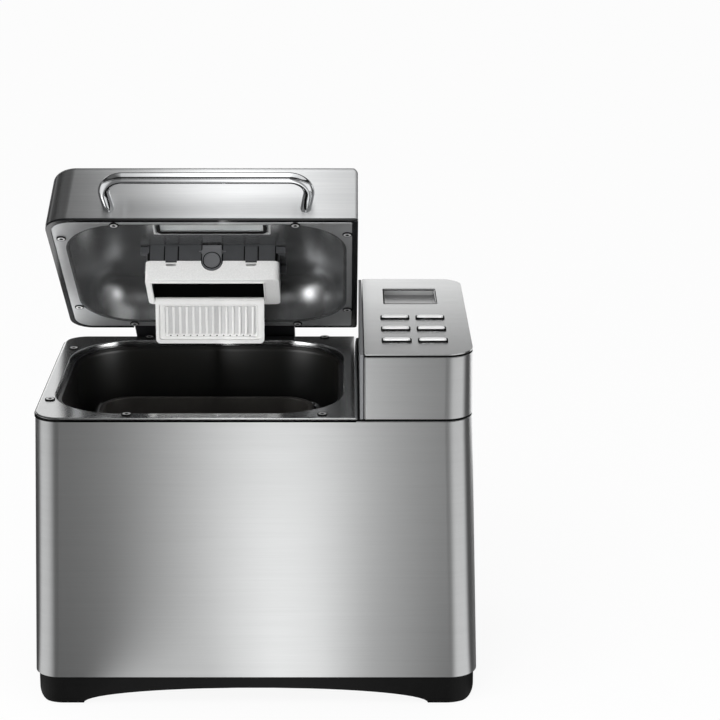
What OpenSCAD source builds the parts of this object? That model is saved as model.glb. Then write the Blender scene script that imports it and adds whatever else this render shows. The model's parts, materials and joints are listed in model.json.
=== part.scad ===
// Automatic bread machine: a stainless body with a lift-up lid, a fruit and nut
// dispenser in the lid, a lift-out bread pan and a belt-driven kneading paddle.
// Millimetres, +Z up. x = 0 is the middle of the body, z = 0 the surface it
// stands on. Inside the modules y runs back from the body's front face; the
// whole model is then shifted so that y = 0 is the middle of its depth.

/* [Body] */
// Width of the body at deck height
body_w = 360; // [350:1:390]
// Depth of the body
body_d = 248; // [244:1:270]
// Height of the deck round the oven
deck_z = 253; // [245:1:266]
// How much wider each side stands at the foot of the shell
draft = 6.5; // [0:0.5:8]
// Radius of the upright front corners
front_r = 22; // [14:1:28]
// Radius of the upright back corners
back_r = 20; // [14:1:24]
// Thickness of the stainless sheet
sheet = 1; // [0.7:0.1:1.4]
// Height of the black base below the shell
base_h = 25; // [22:1:30]
// Height of the arch under the base
arch_h = 13.5; // [8:0.5:14]
// Width of each foot beside the arch
foot_w = 35; // [30:1:45]
// Radius of the base's lower side edges
base_edge_r = 10; // [4:1:12]
// Dark seam between two stainless panels
seam = 1.1; // [0.6:0.1:1.6]
// Half the width of the opening in the shell that the rear panel fills
rear_half = 156; // [150:1:158]

/* [Deck and oven] */
// Thickness of the deck plate
deck_t = 1.5; // [1:0.1:2.5]
// Deck left standing at the sides of the oven mouth
deck_side = 12; // [10:1:16]
// Deck left standing before and behind the oven mouth
deck_end = 14; // [13:1:18]
// Corner radius of the oven mouth
mouth_r = 58; // [40:1:64]
// Width of the dark lip inside the mouth
lip = 4; // [3:0.5:6]
// Height of the oven floor
oven_floor = 62; // [60:1:66]
// Sheet thickness of the oven
oven_t = 1; // [0.8:0.1:1.5]
// Tube diameter of the heating element
heater_d = 6.5; // [5:0.5:8]
// Distance from the oven wall to the middle of the heating element
heater_gap = 12; // [9:1:14]

/* [Control pod] */
// Width of the pod's stainless top
pod_w = 89.5; // [86:0.5:94]
// Height of the pod above the deck
pod_h = 54; // [49:1:60]
// Radius of the pod's front corner
pod_front_r = 24; // [16:1:28]
// Width of the grey flank beside the lid
flank_w = 2.7; // [2:0.1:3.2]
// Channel between the deck and the flank
channel = 1.8; // [1.4:0.1:2.4]
// Width of the display recess
lcd_w = 44.5; // [36:0.5:50]
// Length of the display recess
lcd_d = 49; // [38:1:52]
// Depth of the display recess at its back edge
lcd_drop = 4; // [2:0.5:5]
// Width of a button
button_w = 22.5; // [18:0.5:25]
// Length of a button, front to back
button_d = 7; // [5:0.5:9]
// How far a button stands above the pod
button_rise = 2; // [1.4:0.1:3]
// Travel of a button
button_travel = 1; // [0.6:0.1:1.2]
// Spacing of the two columns of buttons
button_dx = 30; // [27:0.5:34]
// Spacing of the three rows of buttons
button_dy = 36; // [28:1:38]

/* [Lid] */
// Angle at which the lid stands open
lid_open = 38.2; // [10:0.1:60]
// Height of the lid's band
lid_h = 49; // [46:1:56]
// Gap between the deck and the lid's cover when it is closed
lid_gap = 3.4; // [3:0.1:4]
// Gap between the left side of the body and the lid
lid_left_in = 6; // [4:0.5:10]
// Depth of deck left bare behind the lid
lid_back_in = 18; // [16:1:22]
// Lean of the lid's left side
lid_lean = 6; // [0:0.5:9]
// Upright corner radius on the lid's left side
lid_r = 20; // [14:1:26]
// Rounding of the lid's top edges
lid_top_r = 7; // [3:0.5:10]
// Height of the hinge axis below the deck
hinge_drop = 7; // [6.6:0.1:8]
// Width of the hinge block
hinge_w = 146; // [110:1:160]
// Width of the knuckle that turns on the hinge pin
knuckle_w = 106; // [60:1:108]
// Diameter of the hinge pin
pin_d = 5; // [4:0.5:6]
// Rim of the liner round its bowl, at the left, right and front
liner_rim = 12.5; // [11:0.5:16]
// How much wider it is on the left
bowl_left = 4; // [0:0.5:8]
// Rim of the liner behind its bowl
liner_back = 17; // [15:1:22]
// Depth of the liner's bowl
bowl_h = 34; // [28:1:36]
// Corner radius of the bowl
bowl_r = 48; // [40:1:54]
// How far the bowl's wall curves in
bowl_in = 30; // [20:1:36]
// Width of the viewing window
window_w = 102; // [80:1:120]
// Tube diameter of the lid handle
handle_d = 9.5; // [8:0.5:11]
// Distance between the handle's feet
handle_span = 163; // [130:1:180]
// Reach of the handle
handle_reach = 33; // [30:1:42]

/* [Dispenser] */
// Width of the dispenser's silver frame
frame_w = 117; // [112:1:124]
// Depth of the frame, front to back
frame_d = 54; // [52:1:58]
// Room between the dispenser and the back rim of the bowl
disp_back = 35; // [33:0.5:40]
// Height of the frame
frame_h = 18; // [14:1:20]
// Width of the flap
flap_w = 96.6; // [88:0.1:98]
// Thickness of the flap's floor
flap_t = 1.5; // [1.2:0.1:2]
// Height of the flap's rim
flap_rim = 3.2; // [2:0.2:4]
// Width of the latch
latch_w = 17; // [13:0.5:20]

/* [Bread pan] */
// Room between the oven wall and each end of the pan
pan_side = 24.75; // [22:0.25:32]
// Room between the oven wall and the long sides of the pan
pan_end = 39; // [36:0.5:44]
// Height of the pan's bottom above the oven floor
pan_lift_h = 16; // [15:1:18]
// Height of the pan
pan_h = 134; // [120:1:138]
// Thickness of the pan's wall
pan_t = 1.6; // [1.2:0.1:2.2]
// Wire diameter of the pan's handle
bail_d = 5; // [4:0.5:6]

/* [Drive] */
// Radius of the driven pulley
big_r = 36; // [30:1:40]
// Radius of the motor pulley
small_r = 9; // [7:1:12]
// Width of the belt
belt_w = 8; // [6:1:9]
// Radius of the spindle
spindle_r = 6; // [5:0.5:7]
// Radius of the motor
motor_r = 38; // [34:1:40]
// Height of the motor
motor_h = 74; // [60:1:80]

/* [Hidden] */
$fn = 64;

steel = "#c4c6c8";
black = "#1b1c1e";
grey = "#56585b";
silver = "#d5d6d6";
coated = "#33312f";

gap = 0.3;        // between neighbouring pieces that do not move
run_fit = 0.06;   // radial clearance of a shaft in its bearing

// The body's own planes
half_w = body_w / 2;
deck_right = half_w - pod_w - flank_w - gap - channel - 0.2;
flank_left = deck_right + channel;
pod_left = half_w - pod_w;
top_z = deck_z + pod_h;
plate_z = deck_z - deck_t;
shell_top = plate_z - seam;
floor_z = arch_h + 4.5;

// The oven mouth and everything centred on it
mouth_x0 = -half_w + deck_side;
mouth_x1 = deck_right - deck_side;
mouth_y0 = deck_end;
mouth_y1 = body_d - deck_end;
oven_x = (mouth_x0 + mouth_x1) / 2;
oven_y = (mouth_y0 + mouth_y1) / 2;
flange_z = deck_z - 4;

// The closed lid and its hinge axis
lid_x0 = -half_w + lid_left_in;
lid_x1 = deck_right + 0.5;
lid_y0 = 1;
lid_y1 = body_d - lid_back_in;
lid_z0 = deck_z + lid_gap;
lid_top = deck_z + lid_gap + lid_h - 0.4;
lid_x = (lid_x0 + lid_x1) / 2;
hinge_y = body_d - 1;
hinge_z = deck_z - hinge_drop;
frame_z = deck_z + 1.6;
liner_z = lid_z0 - 1;
liner_in = 5;
bowl_x0 = lid_x0 + liner_rim + bowl_left;
bowl_x1 = lid_x1 - liner_rim;
bowl_y0 = lid_y0 + liner_rim - 1.5;
bowl_y1 = lid_y1 - liner_back;
ceiling_z = liner_z + bowl_h;
window_x0 = lid_x + 4 - window_w / 2;
ring_w = 3.5;
window_y0 = bowl_y0 + bowl_in + 10;
window_d = bowl_y1 - disp_back - frame_d - 2 * ring_w - 16 - window_y0;
pane_t = 3;

// The lid leans back past the body, which moves the middle of the depth
lid_back_reach = (lid_y1 - lid_top_r - hinge_y) * cos(lid_open)
    + (lid_top - lid_top_r - hinge_z) * sin(lid_open) + lid_top_r + hinge_y;
mid_y = max(lid_back_reach, body_d) / 2;

// The dispenser, in the closed lid
disp_x = lid_x + 3;
disp_x0 = disp_x - frame_w / 2;
disp_x1 = disp_x + frame_w / 2;
disp_y1 = bowl_y1 - disp_back;
disp_y0 = disp_y1 - frame_d;
disp_z = liner_z + 0.2;
flap_x = disp_x0 + 6 + flap_w / 2;
flap_slot = 2;
flap_x0 = flap_x - flap_w / 2;
flap_x1 = flap_x + flap_w / 2;
flap_y = disp_y1 - 6.5;
flap_z = disp_z + 1.4;
flap_low = flap_z - 1.7;
flap_y0 = disp_y0 + 8;
flap_pin_r = 1.2;
flap_pin_out = flap_slot + 2.5;
flap_barrel_r = 2.4;
latch_x = disp_x - 0.3;
latch_y = disp_y0 + 3;
latch_z = ceiling_z - 6;
latch_r = latch_w / 2;
latch_pin_r = 1.5;
latch_low = disp_z + frame_h - 8.5 + latch_r;

// The drive line under the oven
chassis_z = 38;
chassis_t = 2;
pulley_z = chassis_z - 13;
motor_x = half_w - 52;
pan_w = mouth_x1 - mouth_x0 - 2 * lip - 2 * pan_side;
pan_d = mouth_y1 - mouth_y0 - 2 * lip - 2 * pan_end;
pan_bottom = oven_floor + pan_lift_h;
rim_z = pan_bottom + pan_h;
bail_z = rim_z - 9;
bail_out = 3.6;

// The pod's controls
pod_x = pod_left + pod_w / 2;
fascia_t = 1.2;
fascia_z = top_z - fascia_t;
lcd_x = pod_x - 3;
lcd_y1 = body_d - 38.5;
lcd_y0 = lcd_y1 - lcd_d;
button_x = pod_x - 2.5;
button_y = lcd_y0 - 47.5;
board_z = fascia_z - 11;

// ---------------------------------------------------------------- helpers

module placed() translate([0, -mid_y, 0]) children();

module lid_turn(angle) translate([0, hinge_y, hinge_z]) rotate([-angle, 0, 0])
    translate([0, -hinge_y, -hinge_z]) children();

module on_lid() placed() lid_turn(lid_open) children();

// Turns the closed flap until it hangs straight down from the open lid
module on_flap() on_lid() translate([0, flap_y, flap_z]) rotate([90 + lid_open, 0, 0])
    translate([0, -flap_y, -flap_z]) children();

// Rectangle with its own radius at each corner
module panel_2d(x0, y0, x1, y1, fl, fr, br, bl) {
    difference() {
        translate([x0, y0]) square([x1 - x0, y1 - y0]);
        translate([x0, y0]) square(fl);
        translate([x1 - fr, y0]) square(fr);
        translate([x1 - br, y1 - br]) square(br);
        translate([x0, y1 - bl]) square(bl);
    }
    translate([x0 + fl, y0 + fl]) circle(fl);
    translate([x1 - fr, y0 + fr]) circle(fr);
    translate([x1 - br, y1 - br]) circle(br);
    translate([x0 + bl, y1 - bl]) circle(bl);
}

module round_2d(x0, y0, x1, y1, r) panel_2d(x0, y0, x1, y1, r, r, r, r);

module block(x0, y0, z0, x1, y1, z1) translate([x0, y0, z0]) cube([x1 - x0, y1 - y0, z1 - z0]);

module rod_x(x0, x1, y, z, r) translate([x0, y, z]) rotate([0, 90, 0]) cylinder(r = r, h = x1 - x0);

module rod_y(y0, y1, x, z, r) translate([x, y0, z]) rotate([-90, 0, 0]) cylinder(r = r, h = y1 - y0);

// Mirrors to the other side when s is negative
module flip_x(s) mirror([s < 0 ? 1 : 0, 0, 0]) children();

// An outline drawn as y and z, carried along x
module along_x(x0, x1) translate([x0, 0, 0]) rotate([90, 0, 90]) linear_extrude(x1 - x0) children();

// Points round a rectangle at height z, with a radius for each corner
function ring(x0, y0, x1, y1, r, z, steps = 8) = [
    for (c = [[x0 + r[0], y0 + r[0], r[0], 180], [x1 - r[1], y0 + r[1], r[1], 270],
            [x1 - r[2], y1 - r[2], r[2], 0], [x0 + r[3], y1 - r[3], r[3], 90]], k = [0 : steps])
        [c[0] + c[2] * cos(c[3] + 90 * k / steps), c[1] + c[2] * sin(c[3] + 90 * k / steps), z]];

// Solid skinned over rings of points that are stacked upwards
module loft(rings) {
    n = len(rings[0]);
    top = (len(rings) - 1) * n;
    polyhedron(points = [for (r = rings, p = r) p], faces = concat(
        [[for (i = [0 : n - 1]) i]], [[for (i = [n - 1 : -1 : 0]) top + i]],
        [for (j = [0 : n : top - n], i = [0 : n - 1]) [j + i, j + n + i, j + n + (i + 1) % n]],
        [for (j = [0 : n : top - n], i = [0 : n - 1]) [j + i, j + n + (i + 1) % n, j + (i + 1) % n]]));
}

// The body's outer form between two heights, drawn in by `inset`
module body_form(z0, z1, inset) loft([for (z = [z0, z1]) let (
        out = draft * (deck_z - z) / (deck_z - base_h) - inset)
    ring(-half_w - out, inset, half_w + out, body_d - inset,
        [front_r - inset, pod_front_r - inset, back_r - inset, back_r - inset], z)]);

module deck_outline(inset) panel_2d(-half_w + inset, inset, deck_right - inset, body_d - inset,
    front_r - inset, 2, 2, back_r - inset);

module mouth_2d(grow) round_2d(mouth_x0 - grow, mouth_y0 - grow, mouth_x1 + grow, mouth_y1 + grow,
    mouth_r + grow);

module pod_outline(inset) panel_2d(pod_left + inset, inset, half_w - inset, body_d - inset,
    2, pod_front_r - inset, back_r - inset, 2);

module lid_outline(inset) panel_2d(lid_x0 + inset, lid_y0 + inset,
    lid_x1 - min(inset, 2), lid_y1 - inset, max(lid_r - inset, 2), 3, 3, max(lid_r - inset, 2));

function lid_ring_at(z, inset) = ring(lid_x0 + inset + lid_lean * max(z - lid_z0, 0) / lid_h,
    lid_y0 + inset, lid_x1 - min(inset, 2), lid_y1 - inset,
    [max(lid_r - inset, 2), 3, 3, max(lid_r - inset, 2)], z);

// The lid's outer form, drawn in by `inset` on every side
module lid_form(z0, inset) loft(concat([lid_ring_at(z0, inset)], [for (a = [0 : 18 : 90])
    lid_ring_at(lid_top - inset - lid_top_r * (1 - sin(a)), inset + lid_top_r * (1 - cos(a)))]));

function bowl_ring(z, inset) = ring(bowl_x0 + inset, bowl_y0 + inset, bowl_x1 - inset, bowl_y1 - inset,
    [for (i = [0 : 3]) bowl_r - inset], z, 12);

// The bowl's wall leaves the rim upright and curves in to a flat ceiling
module bowl_form(z0, grow) loft(concat([bowl_ring(z0, -grow)], [for (a = [0 : 15 : 90])
    bowl_ring(liner_z + (bowl_h + grow) * sin(a), bowl_in * (1 - cos(a)) - grow)]));

// Screw with a cross recess, its head standing on z = 0
module cross_screw(head_r, head_h, shank_r, shank_h) {
    difference() {
        cylinder(r = head_r, h = head_h);
        for (a = [0, 90]) rotate([0, 0, a])
            block(-head_r * 0.6, -0.5, head_h - 0.8, head_r * 0.6, 0.5, head_h + 1);
    }
    translate([0, 0, -shank_h]) cylinder(r = shank_r, h = shank_h);
}

module pill_2d(w, d) {
    square([w - d, d], center = true);
    for (x = [-1, 1]) translate([x * (w - d) / 2, 0]) circle(d / 2);
}

// ------------------------------------------------------------------- base

base_in = 2;
base_half = half_w + draft - base_in - 0.4;
foot_pad_r = 9;
foot_drop = 1;
foot_x = half_w - base_edge_r - foot_w / 2 + 7;
feet_at = [for (x = [-foot_x, foot_x], y = [24, body_d - 24]) [x, y]];

module base_tray() color(black) placed() difference() {
    intersection() {
        translate([0, body_d, 0]) rotate([90, 0, 0]) linear_extrude(body_d)
            panel_2d(-base_half, foot_drop, base_half, base_h + base_edge_r + 2,
                base_edge_r, base_edge_r, base_edge_r, base_edge_r);
        translate([0, 0, foot_drop - 1]) linear_extrude(base_h - foot_drop + 1)
            panel_2d(-base_half, base_in, base_half, body_d - base_in,
                front_r, pod_front_r, back_r, back_r);
    }
    translate([0, body_d + 1, foot_drop]) rotate([90, 0, 0]) linear_extrude(body_d + 2)
        polygon([for (a = [0 : 6 : 180]) [(half_w - foot_w) * cos(a), arch_h * sin(a)],
            [-half_w + foot_w, -5], [half_w - foot_w, -5]]);
    block(-half_w + foot_w + 12, 6, floor_z, half_w - foot_w - 12, body_d - 6, base_h + 1);
    for (s = [-1, 1]) flip_x(s) {
        block(half_w - foot_w + 3, 26, 6, half_w - 6, body_d - 26, base_h + 1);
        block(half_w - foot_w - 13, 26, floor_z, half_w - 6, body_d - 26, base_h + 1);
    }
    for (p = feet_at) translate([p[0], p[1], -1]) cylinder(r = foot_pad_r + 0.2, h = 4.6 + foot_drop);
}

module rubber_feet() color("#101010") placed() for (p = feet_at) translate([p[0], p[1], 0])
    cylinder(r = foot_pad_r, h = 3.5 + foot_drop);

// ------------------------------------------------------------ outer panels

module outer_shell() color(steel) placed() difference() {
    body_form(base_h, shell_top, 0);
    body_form(base_h - 1, shell_top + 1, sheet);
    block(-rear_half, body_d - back_r, base_h - 1, rear_half, body_d + 1, shell_top + 1);
}

vent_w = 3;
vent_h = 44;
inlet_x = half_w - 50;
inlet_z = 56;
inlet_w = 28;
inlet_h = 21;
pocket_z = hinge_z - 15;
hinge_x0 = lid_x - hinge_w / 2;
hinge_x1 = lid_x + hinge_w / 2;
knuckle_x0 = lid_x - knuckle_w / 2;
knuckle_x1 = lid_x + knuckle_w / 2;
ear_t = 3;
ear_gap = 1;

module rear_panel() color(black) placed() difference() {
    block(-rear_half + gap, body_d - 2.2, base_h + gap, rear_half - gap, body_d - 0.2, shell_top);
    block(hinge_x0 - 1, body_d - 5, pocket_z, hinge_x1 + 1, body_d + 5, deck_z);
    for (x = [-120 : 8 : 40], z = [60, 120]) block(x, body_d - 5, z, x + vent_w, body_d + 1, z + vent_h);
    block(inlet_x - inlet_w / 2 - gap, body_d - 5, inlet_z - inlet_h / 2 - gap,
        inlet_x + inlet_w / 2 + gap, body_d + 1, inlet_z + inlet_h / 2 + gap);
}

module mains_inlet() color(black) placed() {
    difference() {
        union() {
            block(inlet_x - inlet_w / 2, body_d - 24, inlet_z - inlet_h / 2,
                inlet_x + inlet_w / 2, body_d, inlet_z + inlet_h / 2);
            block(inlet_x - inlet_w / 2 - 4, body_d, inlet_z - inlet_h / 2 - 3,
                inlet_x + inlet_w / 2 + 4, body_d + 2, inlet_z + inlet_h / 2 + 3);
        }
        block(inlet_x - inlet_w / 2 + 2.5, body_d - 17, inlet_z - inlet_h / 2 + 2.5,
            inlet_x + inlet_w / 2 - 2.5, body_d + 3, inlet_z + inlet_h / 2 - 2.5);
    }
    for (p = [[-7, -2], [7, -2], [0, 2.5]]) translate([inlet_x + p[0], 0, inlet_z + p[1]])
        block(-1, body_d - 18, -2, 1, body_d - 4, 2);
}

screw_left = oven_x - 56.5;
screw_right = deck_right - 29;
deck_screws_at = [[-half_w + 8.6, 51], [-half_w + 11, body_d - 42], [screw_left, 9.5],
    [screw_right, 9.5], [screw_left, body_d - 5.5], [screw_right, body_d - 5.5]];

module top_deck() color(steel) placed() difference() {
    union() {
        translate([0, 0, plate_z]) linear_extrude(deck_t) deck_outline(0);
        translate([0, 0, flange_z + 0.1]) linear_extrude(plate_z - flange_z) mouth_2d(1.2);
    }
    translate([0, 0, flange_z - 1]) linear_extrude(deck_z - flange_z + 2) mouth_2d(0);
    for (p = deck_screws_at) translate([p[0], p[1], flange_z - 1]) cylinder(r = 1.7, h = 10);
}

module deck_screws() color(silver) placed() for (p = deck_screws_at)
    translate([p[0], p[1], deck_z]) cross_screw(3.4, 1, 1.5, 8);

seam_in = 0.8;

module upper_frame() color(black) placed() difference() {
    union() {
        body_form(deck_z - 12, plate_z - 0.1, sheet + gap);
        translate([0, 0, shell_top + 0.1]) linear_extrude(seam - 0.2)
            panel_2d(-half_w + seam_in, seam_in, half_w - seam_in, body_d - seam_in,
                front_r, pod_front_r, back_r, back_r);
    }
    translate([0, 0, deck_z - 13]) linear_extrude(20) mouth_2d(oven_t - lip + gap);
    translate([0, 0, flange_z - oven_t - 0.2]) linear_extrude(10) mouth_2d(1.7);
    block(pod_left + 12, 30, deck_z - 13, half_w - 12, body_d - 30, deck_z);
    block(-rear_half, body_d - 2.5, deck_z - 13, rear_half, body_d + 1, shell_top + 0.1);
    block(hinge_x0 - 1, hinge_y - 2.2, deck_z - 13, hinge_x1 + 1, body_d + 1, deck_z);
    block(knuckle_x0 - ear_gap - ear_t - 0.4, hinge_y - 9.5, deck_z - 13,
        knuckle_x1 + ear_gap + ear_t + 0.4, body_d + 1, deck_z);
    for (p = deck_screws_at) translate([p[0], p[1], deck_z - 9]) cylinder(r = 1.7, h = 10);
}

// ------------------------------------------------------------------- oven

spindle_hole_r = 20;
heater_z = oven_floor + 13;
heater_r = heater_d / 2;
heater_x0 = mouth_x0 + lip + heater_gap;
heater_x1 = mouth_x1 - lip - heater_gap;
heater_y0 = mouth_y0 + lip + heater_gap;
heater_y1 = mouth_y1 - lip - heater_gap;
heater_bend = 34;
heater_ends = [oven_y - 18, oven_y + 18];
end_bend = 9;
sensor_y = oven_y + 52;
sensor_z = oven_floor + 62;
sensor_r = 2.5;

module oven_chamber() color(coated) placed() difference() {
    union() {
        translate([0, 0, oven_floor - oven_t]) linear_extrude(flange_z - oven_floor + oven_t)
            mouth_2d(oven_t - lip);
        translate([0, 0, flange_z - oven_t]) linear_extrude(oven_t) mouth_2d(1.4);
    }
    translate([0, 0, oven_floor]) linear_extrude(flange_z) mouth_2d(-lip);
    translate([oven_x, oven_y, 0]) cylinder(r = spindle_hole_r, h = oven_floor + 1);
    for (y = heater_ends) rod_x(mouth_x1 - lip - 2, mouth_x1, y, heater_z, heater_d / 2 + 0.4);
    rod_x(mouth_x1 - lip - 2, mouth_x1, sensor_y, sensor_z, sensor_r + 0.2);
}

module bend(x, y, r, from) translate([x, y, heater_z]) rotate([0, 0, from])
    rotate_extrude(angle = 90) translate([r, 0]) circle(heater_r);

module heating_element() color("#4a3f3a") placed() {
    b = heater_bend;
    rod_y(heater_y0 + b, heater_y1 - b, heater_x0, heater_z, heater_r);
    rod_x(heater_x0 + b, heater_x1 - b, heater_y0, heater_z, heater_r);
    rod_x(heater_x0 + b, heater_x1 - b, heater_y1, heater_z, heater_r);
    bend(heater_x0 + b, heater_y0 + b, b, 180);
    bend(heater_x1 - b, heater_y0 + b, b, 270);
    bend(heater_x0 + b, heater_y1 - b, b, 90);
    bend(heater_x1 - b, heater_y1 - b, b, 0);
    rod_y(heater_y0 + b, heater_ends[0] - end_bend, heater_x1, heater_z, heater_r);
    rod_y(heater_ends[1] + end_bend, heater_y1 - b, heater_x1, heater_z, heater_r);
    bend(heater_x1 + end_bend, heater_ends[0] - end_bend, end_bend, 90);
    bend(heater_x1 + end_bend, heater_ends[1] + end_bend, end_bend, 180);
    for (y = heater_ends) rod_x(heater_x1 + end_bend, mouth_x1 + 8, y, heater_z, heater_r);
}

clips_at = [[oven_x - 40, mouth_y0 + lip, 0], [oven_x + 40, mouth_y0 + lip, 0],
    [oven_x - 40, mouth_y1 - lip, 180], [oven_x + 40, mouth_y1 - lip, 180]];

module heater_clips() color(silver) placed() for (c = clips_at)
    translate([c[0], c[1], heater_z]) rotate([0, 0, c[2]]) difference() {
        block(-4, 0.05, -heater_r - 1.5, 4, heater_gap + heater_r + 1.5, heater_r + 1.5);
        rod_x(-5, 5, heater_gap, 0, heater_r + 0.05);
        block(-5, heater_gap, -1.2, 5, heater_gap + 10, 1.2);
    }

module temperature_sensor() color(silver) placed() {
    rod_x(mouth_x1 - lip - 9, mouth_x1 + 4, sensor_y, sensor_z, sensor_r);
    rod_x(mouth_x1 - lip + oven_t, mouth_x1 - lip + oven_t + 2, sensor_y, sensor_z, 7);
}

skirt_r = 34;
seat_r = 42;

module pan_seat() color(silver) placed() translate([oven_x, oven_y, oven_floor]) difference() {
    union() {
        cylinder(r = seat_r + 6, h = 1.5);
        cylinder(r = seat_r, h = 9);
    }
    translate([0, 0, -1]) cylinder(r = skirt_r + 0.6, h = 12);
    for (a = [45 : 90 : 315]) rotate([0, 0, a]) block(seat_r - 10, -6, 1.5, seat_r + 10, 6, 12);
}

// ------------------------------------------------------------------ drive

module chassis_plate() color("#8a8d90") placed() difference() {
    union() {
        block(mouth_x0, 30, chassis_z, mouth_x1, body_d - 30, chassis_z + chassis_t);
        for (x = [mouth_x0 + 40, mouth_x1 - 40], y = [60, body_d - 60]) translate([x, y, chassis_z])
            cylinder(r = 6, h = oven_floor - oven_t - chassis_z);
        for (x = [mouth_x0 + 40, mouth_x1 - 8], y = [38, body_d - 38])
            translate([x, y, floor_z]) cylinder(r = 5, h = chassis_z - floor_z + 1);
    }
    translate([oven_x, oven_y, chassis_z - 1]) cylinder(r = spindle_r + 3, h = 5);
}

module spindle_bearing() color("#b9bbb9") placed() translate([oven_x, oven_y, chassis_z + chassis_t])
    difference() {
        union() {
            cylinder(r = 22, h = 3);
            cylinder(r = 14, h = oven_floor - oven_t - chassis_z - chassis_t - 1);
        }
        translate([0, 0, -1]) cylinder(r = spindle_r + run_fit, h = 40);
    }

coupling_z = oven_floor + 3;

module drive_spindle() color(silver) placed() translate([oven_x, oven_y, pulley_z - 2])
    cylinder(r = spindle_r, h = coupling_z - pulley_z + 2);

module drive_coupling() color("#9a9c9d") placed() translate([oven_x, oven_y, coupling_z]) {
    cylinder(r = 14, h = 3);
    for (y = [-10, 10]) translate([0, y, 0]) cylinder(r = 2.5, h = 10);
}

// Pulley with two flanges, standing on z = 0
module pulley(r, bore_r) difference() {
    union() {
        cylinder(r = r, h = belt_w + 4);
        for (z = [0, belt_w + 2.4]) translate([0, 0, z]) cylinder(r = r + 3, h = 1.6);
    }
    translate([0, 0, -1]) cylinder(r = bore_r, h = belt_w + 6);
}

module driven_pulley() color("#2c2d2f") placed() translate([oven_x, oven_y, pulley_z]) difference() {
    pulley(big_r, spindle_r);
    for (a = [0 : 60 : 300]) rotate([0, 0, a]) translate([(big_r + spindle_r) / 2, 0, -1])
        cylinder(r = 8, h = belt_w + 6);
}

belt_t = 2;

module belt_2d(grow) hull() {
    translate([oven_x, oven_y]) circle(big_r + grow);
    translate([motor_x, oven_y]) circle(small_r + grow);
}

module drive_belt() color("#141414") placed() translate([0, 0, pulley_z + 2]) linear_extrude(belt_w)
    difference() {
        belt_2d(gap + belt_t);
        belt_2d(gap);
    }

shaft_r = 4;
motor_z = chassis_z + chassis_t;
rotor_r = motor_r - 16;

module motor_pulley() color("#9a9c9d") placed() translate([motor_x, oven_y, pulley_z])
    pulley(small_r, shaft_r);

module motor_shaft() color(silver) placed() translate([motor_x, oven_y, pulley_z - 2])
    cylinder(r = shaft_r, h = motor_z + motor_h + 4 - pulley_z);

module motor_rotor() color("#6e7072") placed() translate([motor_x, oven_y, motor_z + 10]) difference() {
    cylinder(r = rotor_r, h = motor_h - 20);
    translate([0, 0, -1]) cylinder(r = shaft_r, h = motor_h);
}

module motor_housing() color("#7c7f82") placed() translate([motor_x, oven_y, motor_z]) difference() {
    cylinder(r = motor_r, h = motor_h);
    translate([0, 0, 4]) cylinder(r = rotor_r + 0.6, h = motor_h - 8);
    translate([0, 0, -1]) cylinder(r = shaft_r + run_fit, h = motor_h + 2);
    for (a = [0 : 45 : 315]) rotate([0, 0, a]) translate([motor_r - 4.5, 0, motor_h - 3])
        cylinder(r = 2.5, h = 5);
}

module motor_bracket() color("#8a8d90") placed() difference() {
    union() {
        block(mouth_x1 + 1, 40, chassis_z, half_w - 8, body_d - 40, motor_z);
        for (x = [mouth_x1 + 8, half_w - 54], y = [48, body_d - 48])
            translate([x, y, floor_z]) cylinder(r = 5, h = chassis_z - floor_z + 1);
    }
    translate([motor_x, oven_y, chassis_z - 1]) cylinder(r = shaft_r + 3, h = 5);
}

board_x = mouth_x1 + 12;
board_w = half_w - mouth_x1 - 22.5;
board_y = body_d - 44;
board_low = chassis_z + 32;
board_high = deck_z - 58;

module power_board() color("#2f5d3a") placed() {
    block(board_x, board_y, board_low, board_x + board_w, board_y + 1.6, board_high);
    translate([board_x, board_y + 1.6, board_low]) {
        block(8, 0, 10, 44, 28, 46);
        block(52, 0, 14, 72, 16, 42);
        block(50, 0, 62, 76, 10, 80);
        for (i = [0, 1, 2]) rod_y(0, 18, 16 + 14 * i, 80, 5);
    }
    for (x = [board_x + 6, board_x + board_w - 6], z = [board_low + 6, board_high - 6])
        rod_y(board_y + 1.6, body_d - 2.4, x, z, 3);
}

// -------------------------------------------------------------------- pod

flank_end = 6.4;

module pod_housing() color(grey) placed() {
    block(flank_left, 1, plate_z + 0.1, flank_left + flank_w, body_d - 1, top_z - 0.6);
    difference() {
        translate([0, 0, plate_z + 0.1]) linear_extrude(fascia_z - plate_z - 0.2) pod_outline(sheet + gap);
        translate([0, 0, plate_z + 2]) linear_extrude(pod_h + 5) pod_outline(sheet + gap + 2);
        block(pod_left + 20, 40, plate_z - 1, half_w - 20, body_d - 60, plate_z + 3);
    }
    block(flank_left, flank_end, plate_z + 0.1, pod_left + sheet + gap + 1, body_d - flank_end, plate_z + 2);
    block(flank_left + 1, flank_end, plate_z + 1, pod_left + 3, body_d - flank_end, plate_z + 5);
    for (x = [pod_left + 14, half_w - 14], y = [40, body_d - 50])
        translate([x, y, plate_z + 1]) cylinder(r = 3.5, h = board_z - plate_z - 1);
}

module pod_panel() color(steel) placed() difference() {
    translate([0, 0, plate_z + 0.1]) linear_extrude(fascia_z - 0.8 - plate_z - 0.1) pod_outline(0);
    translate([0, 0, plate_z - 1]) linear_extrude(pod_h + 5) pod_outline(sheet);
    block(pod_left - 1, flank_end - gap, plate_z - 1, pod_left + 6, body_d - flank_end + gap, plate_z + 6);
}

buttons_at = [for (j = [0, 1, 2], i = [0, 1]) [button_x + (i - 0.5) * button_dx, button_y - j * button_dy]];

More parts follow.
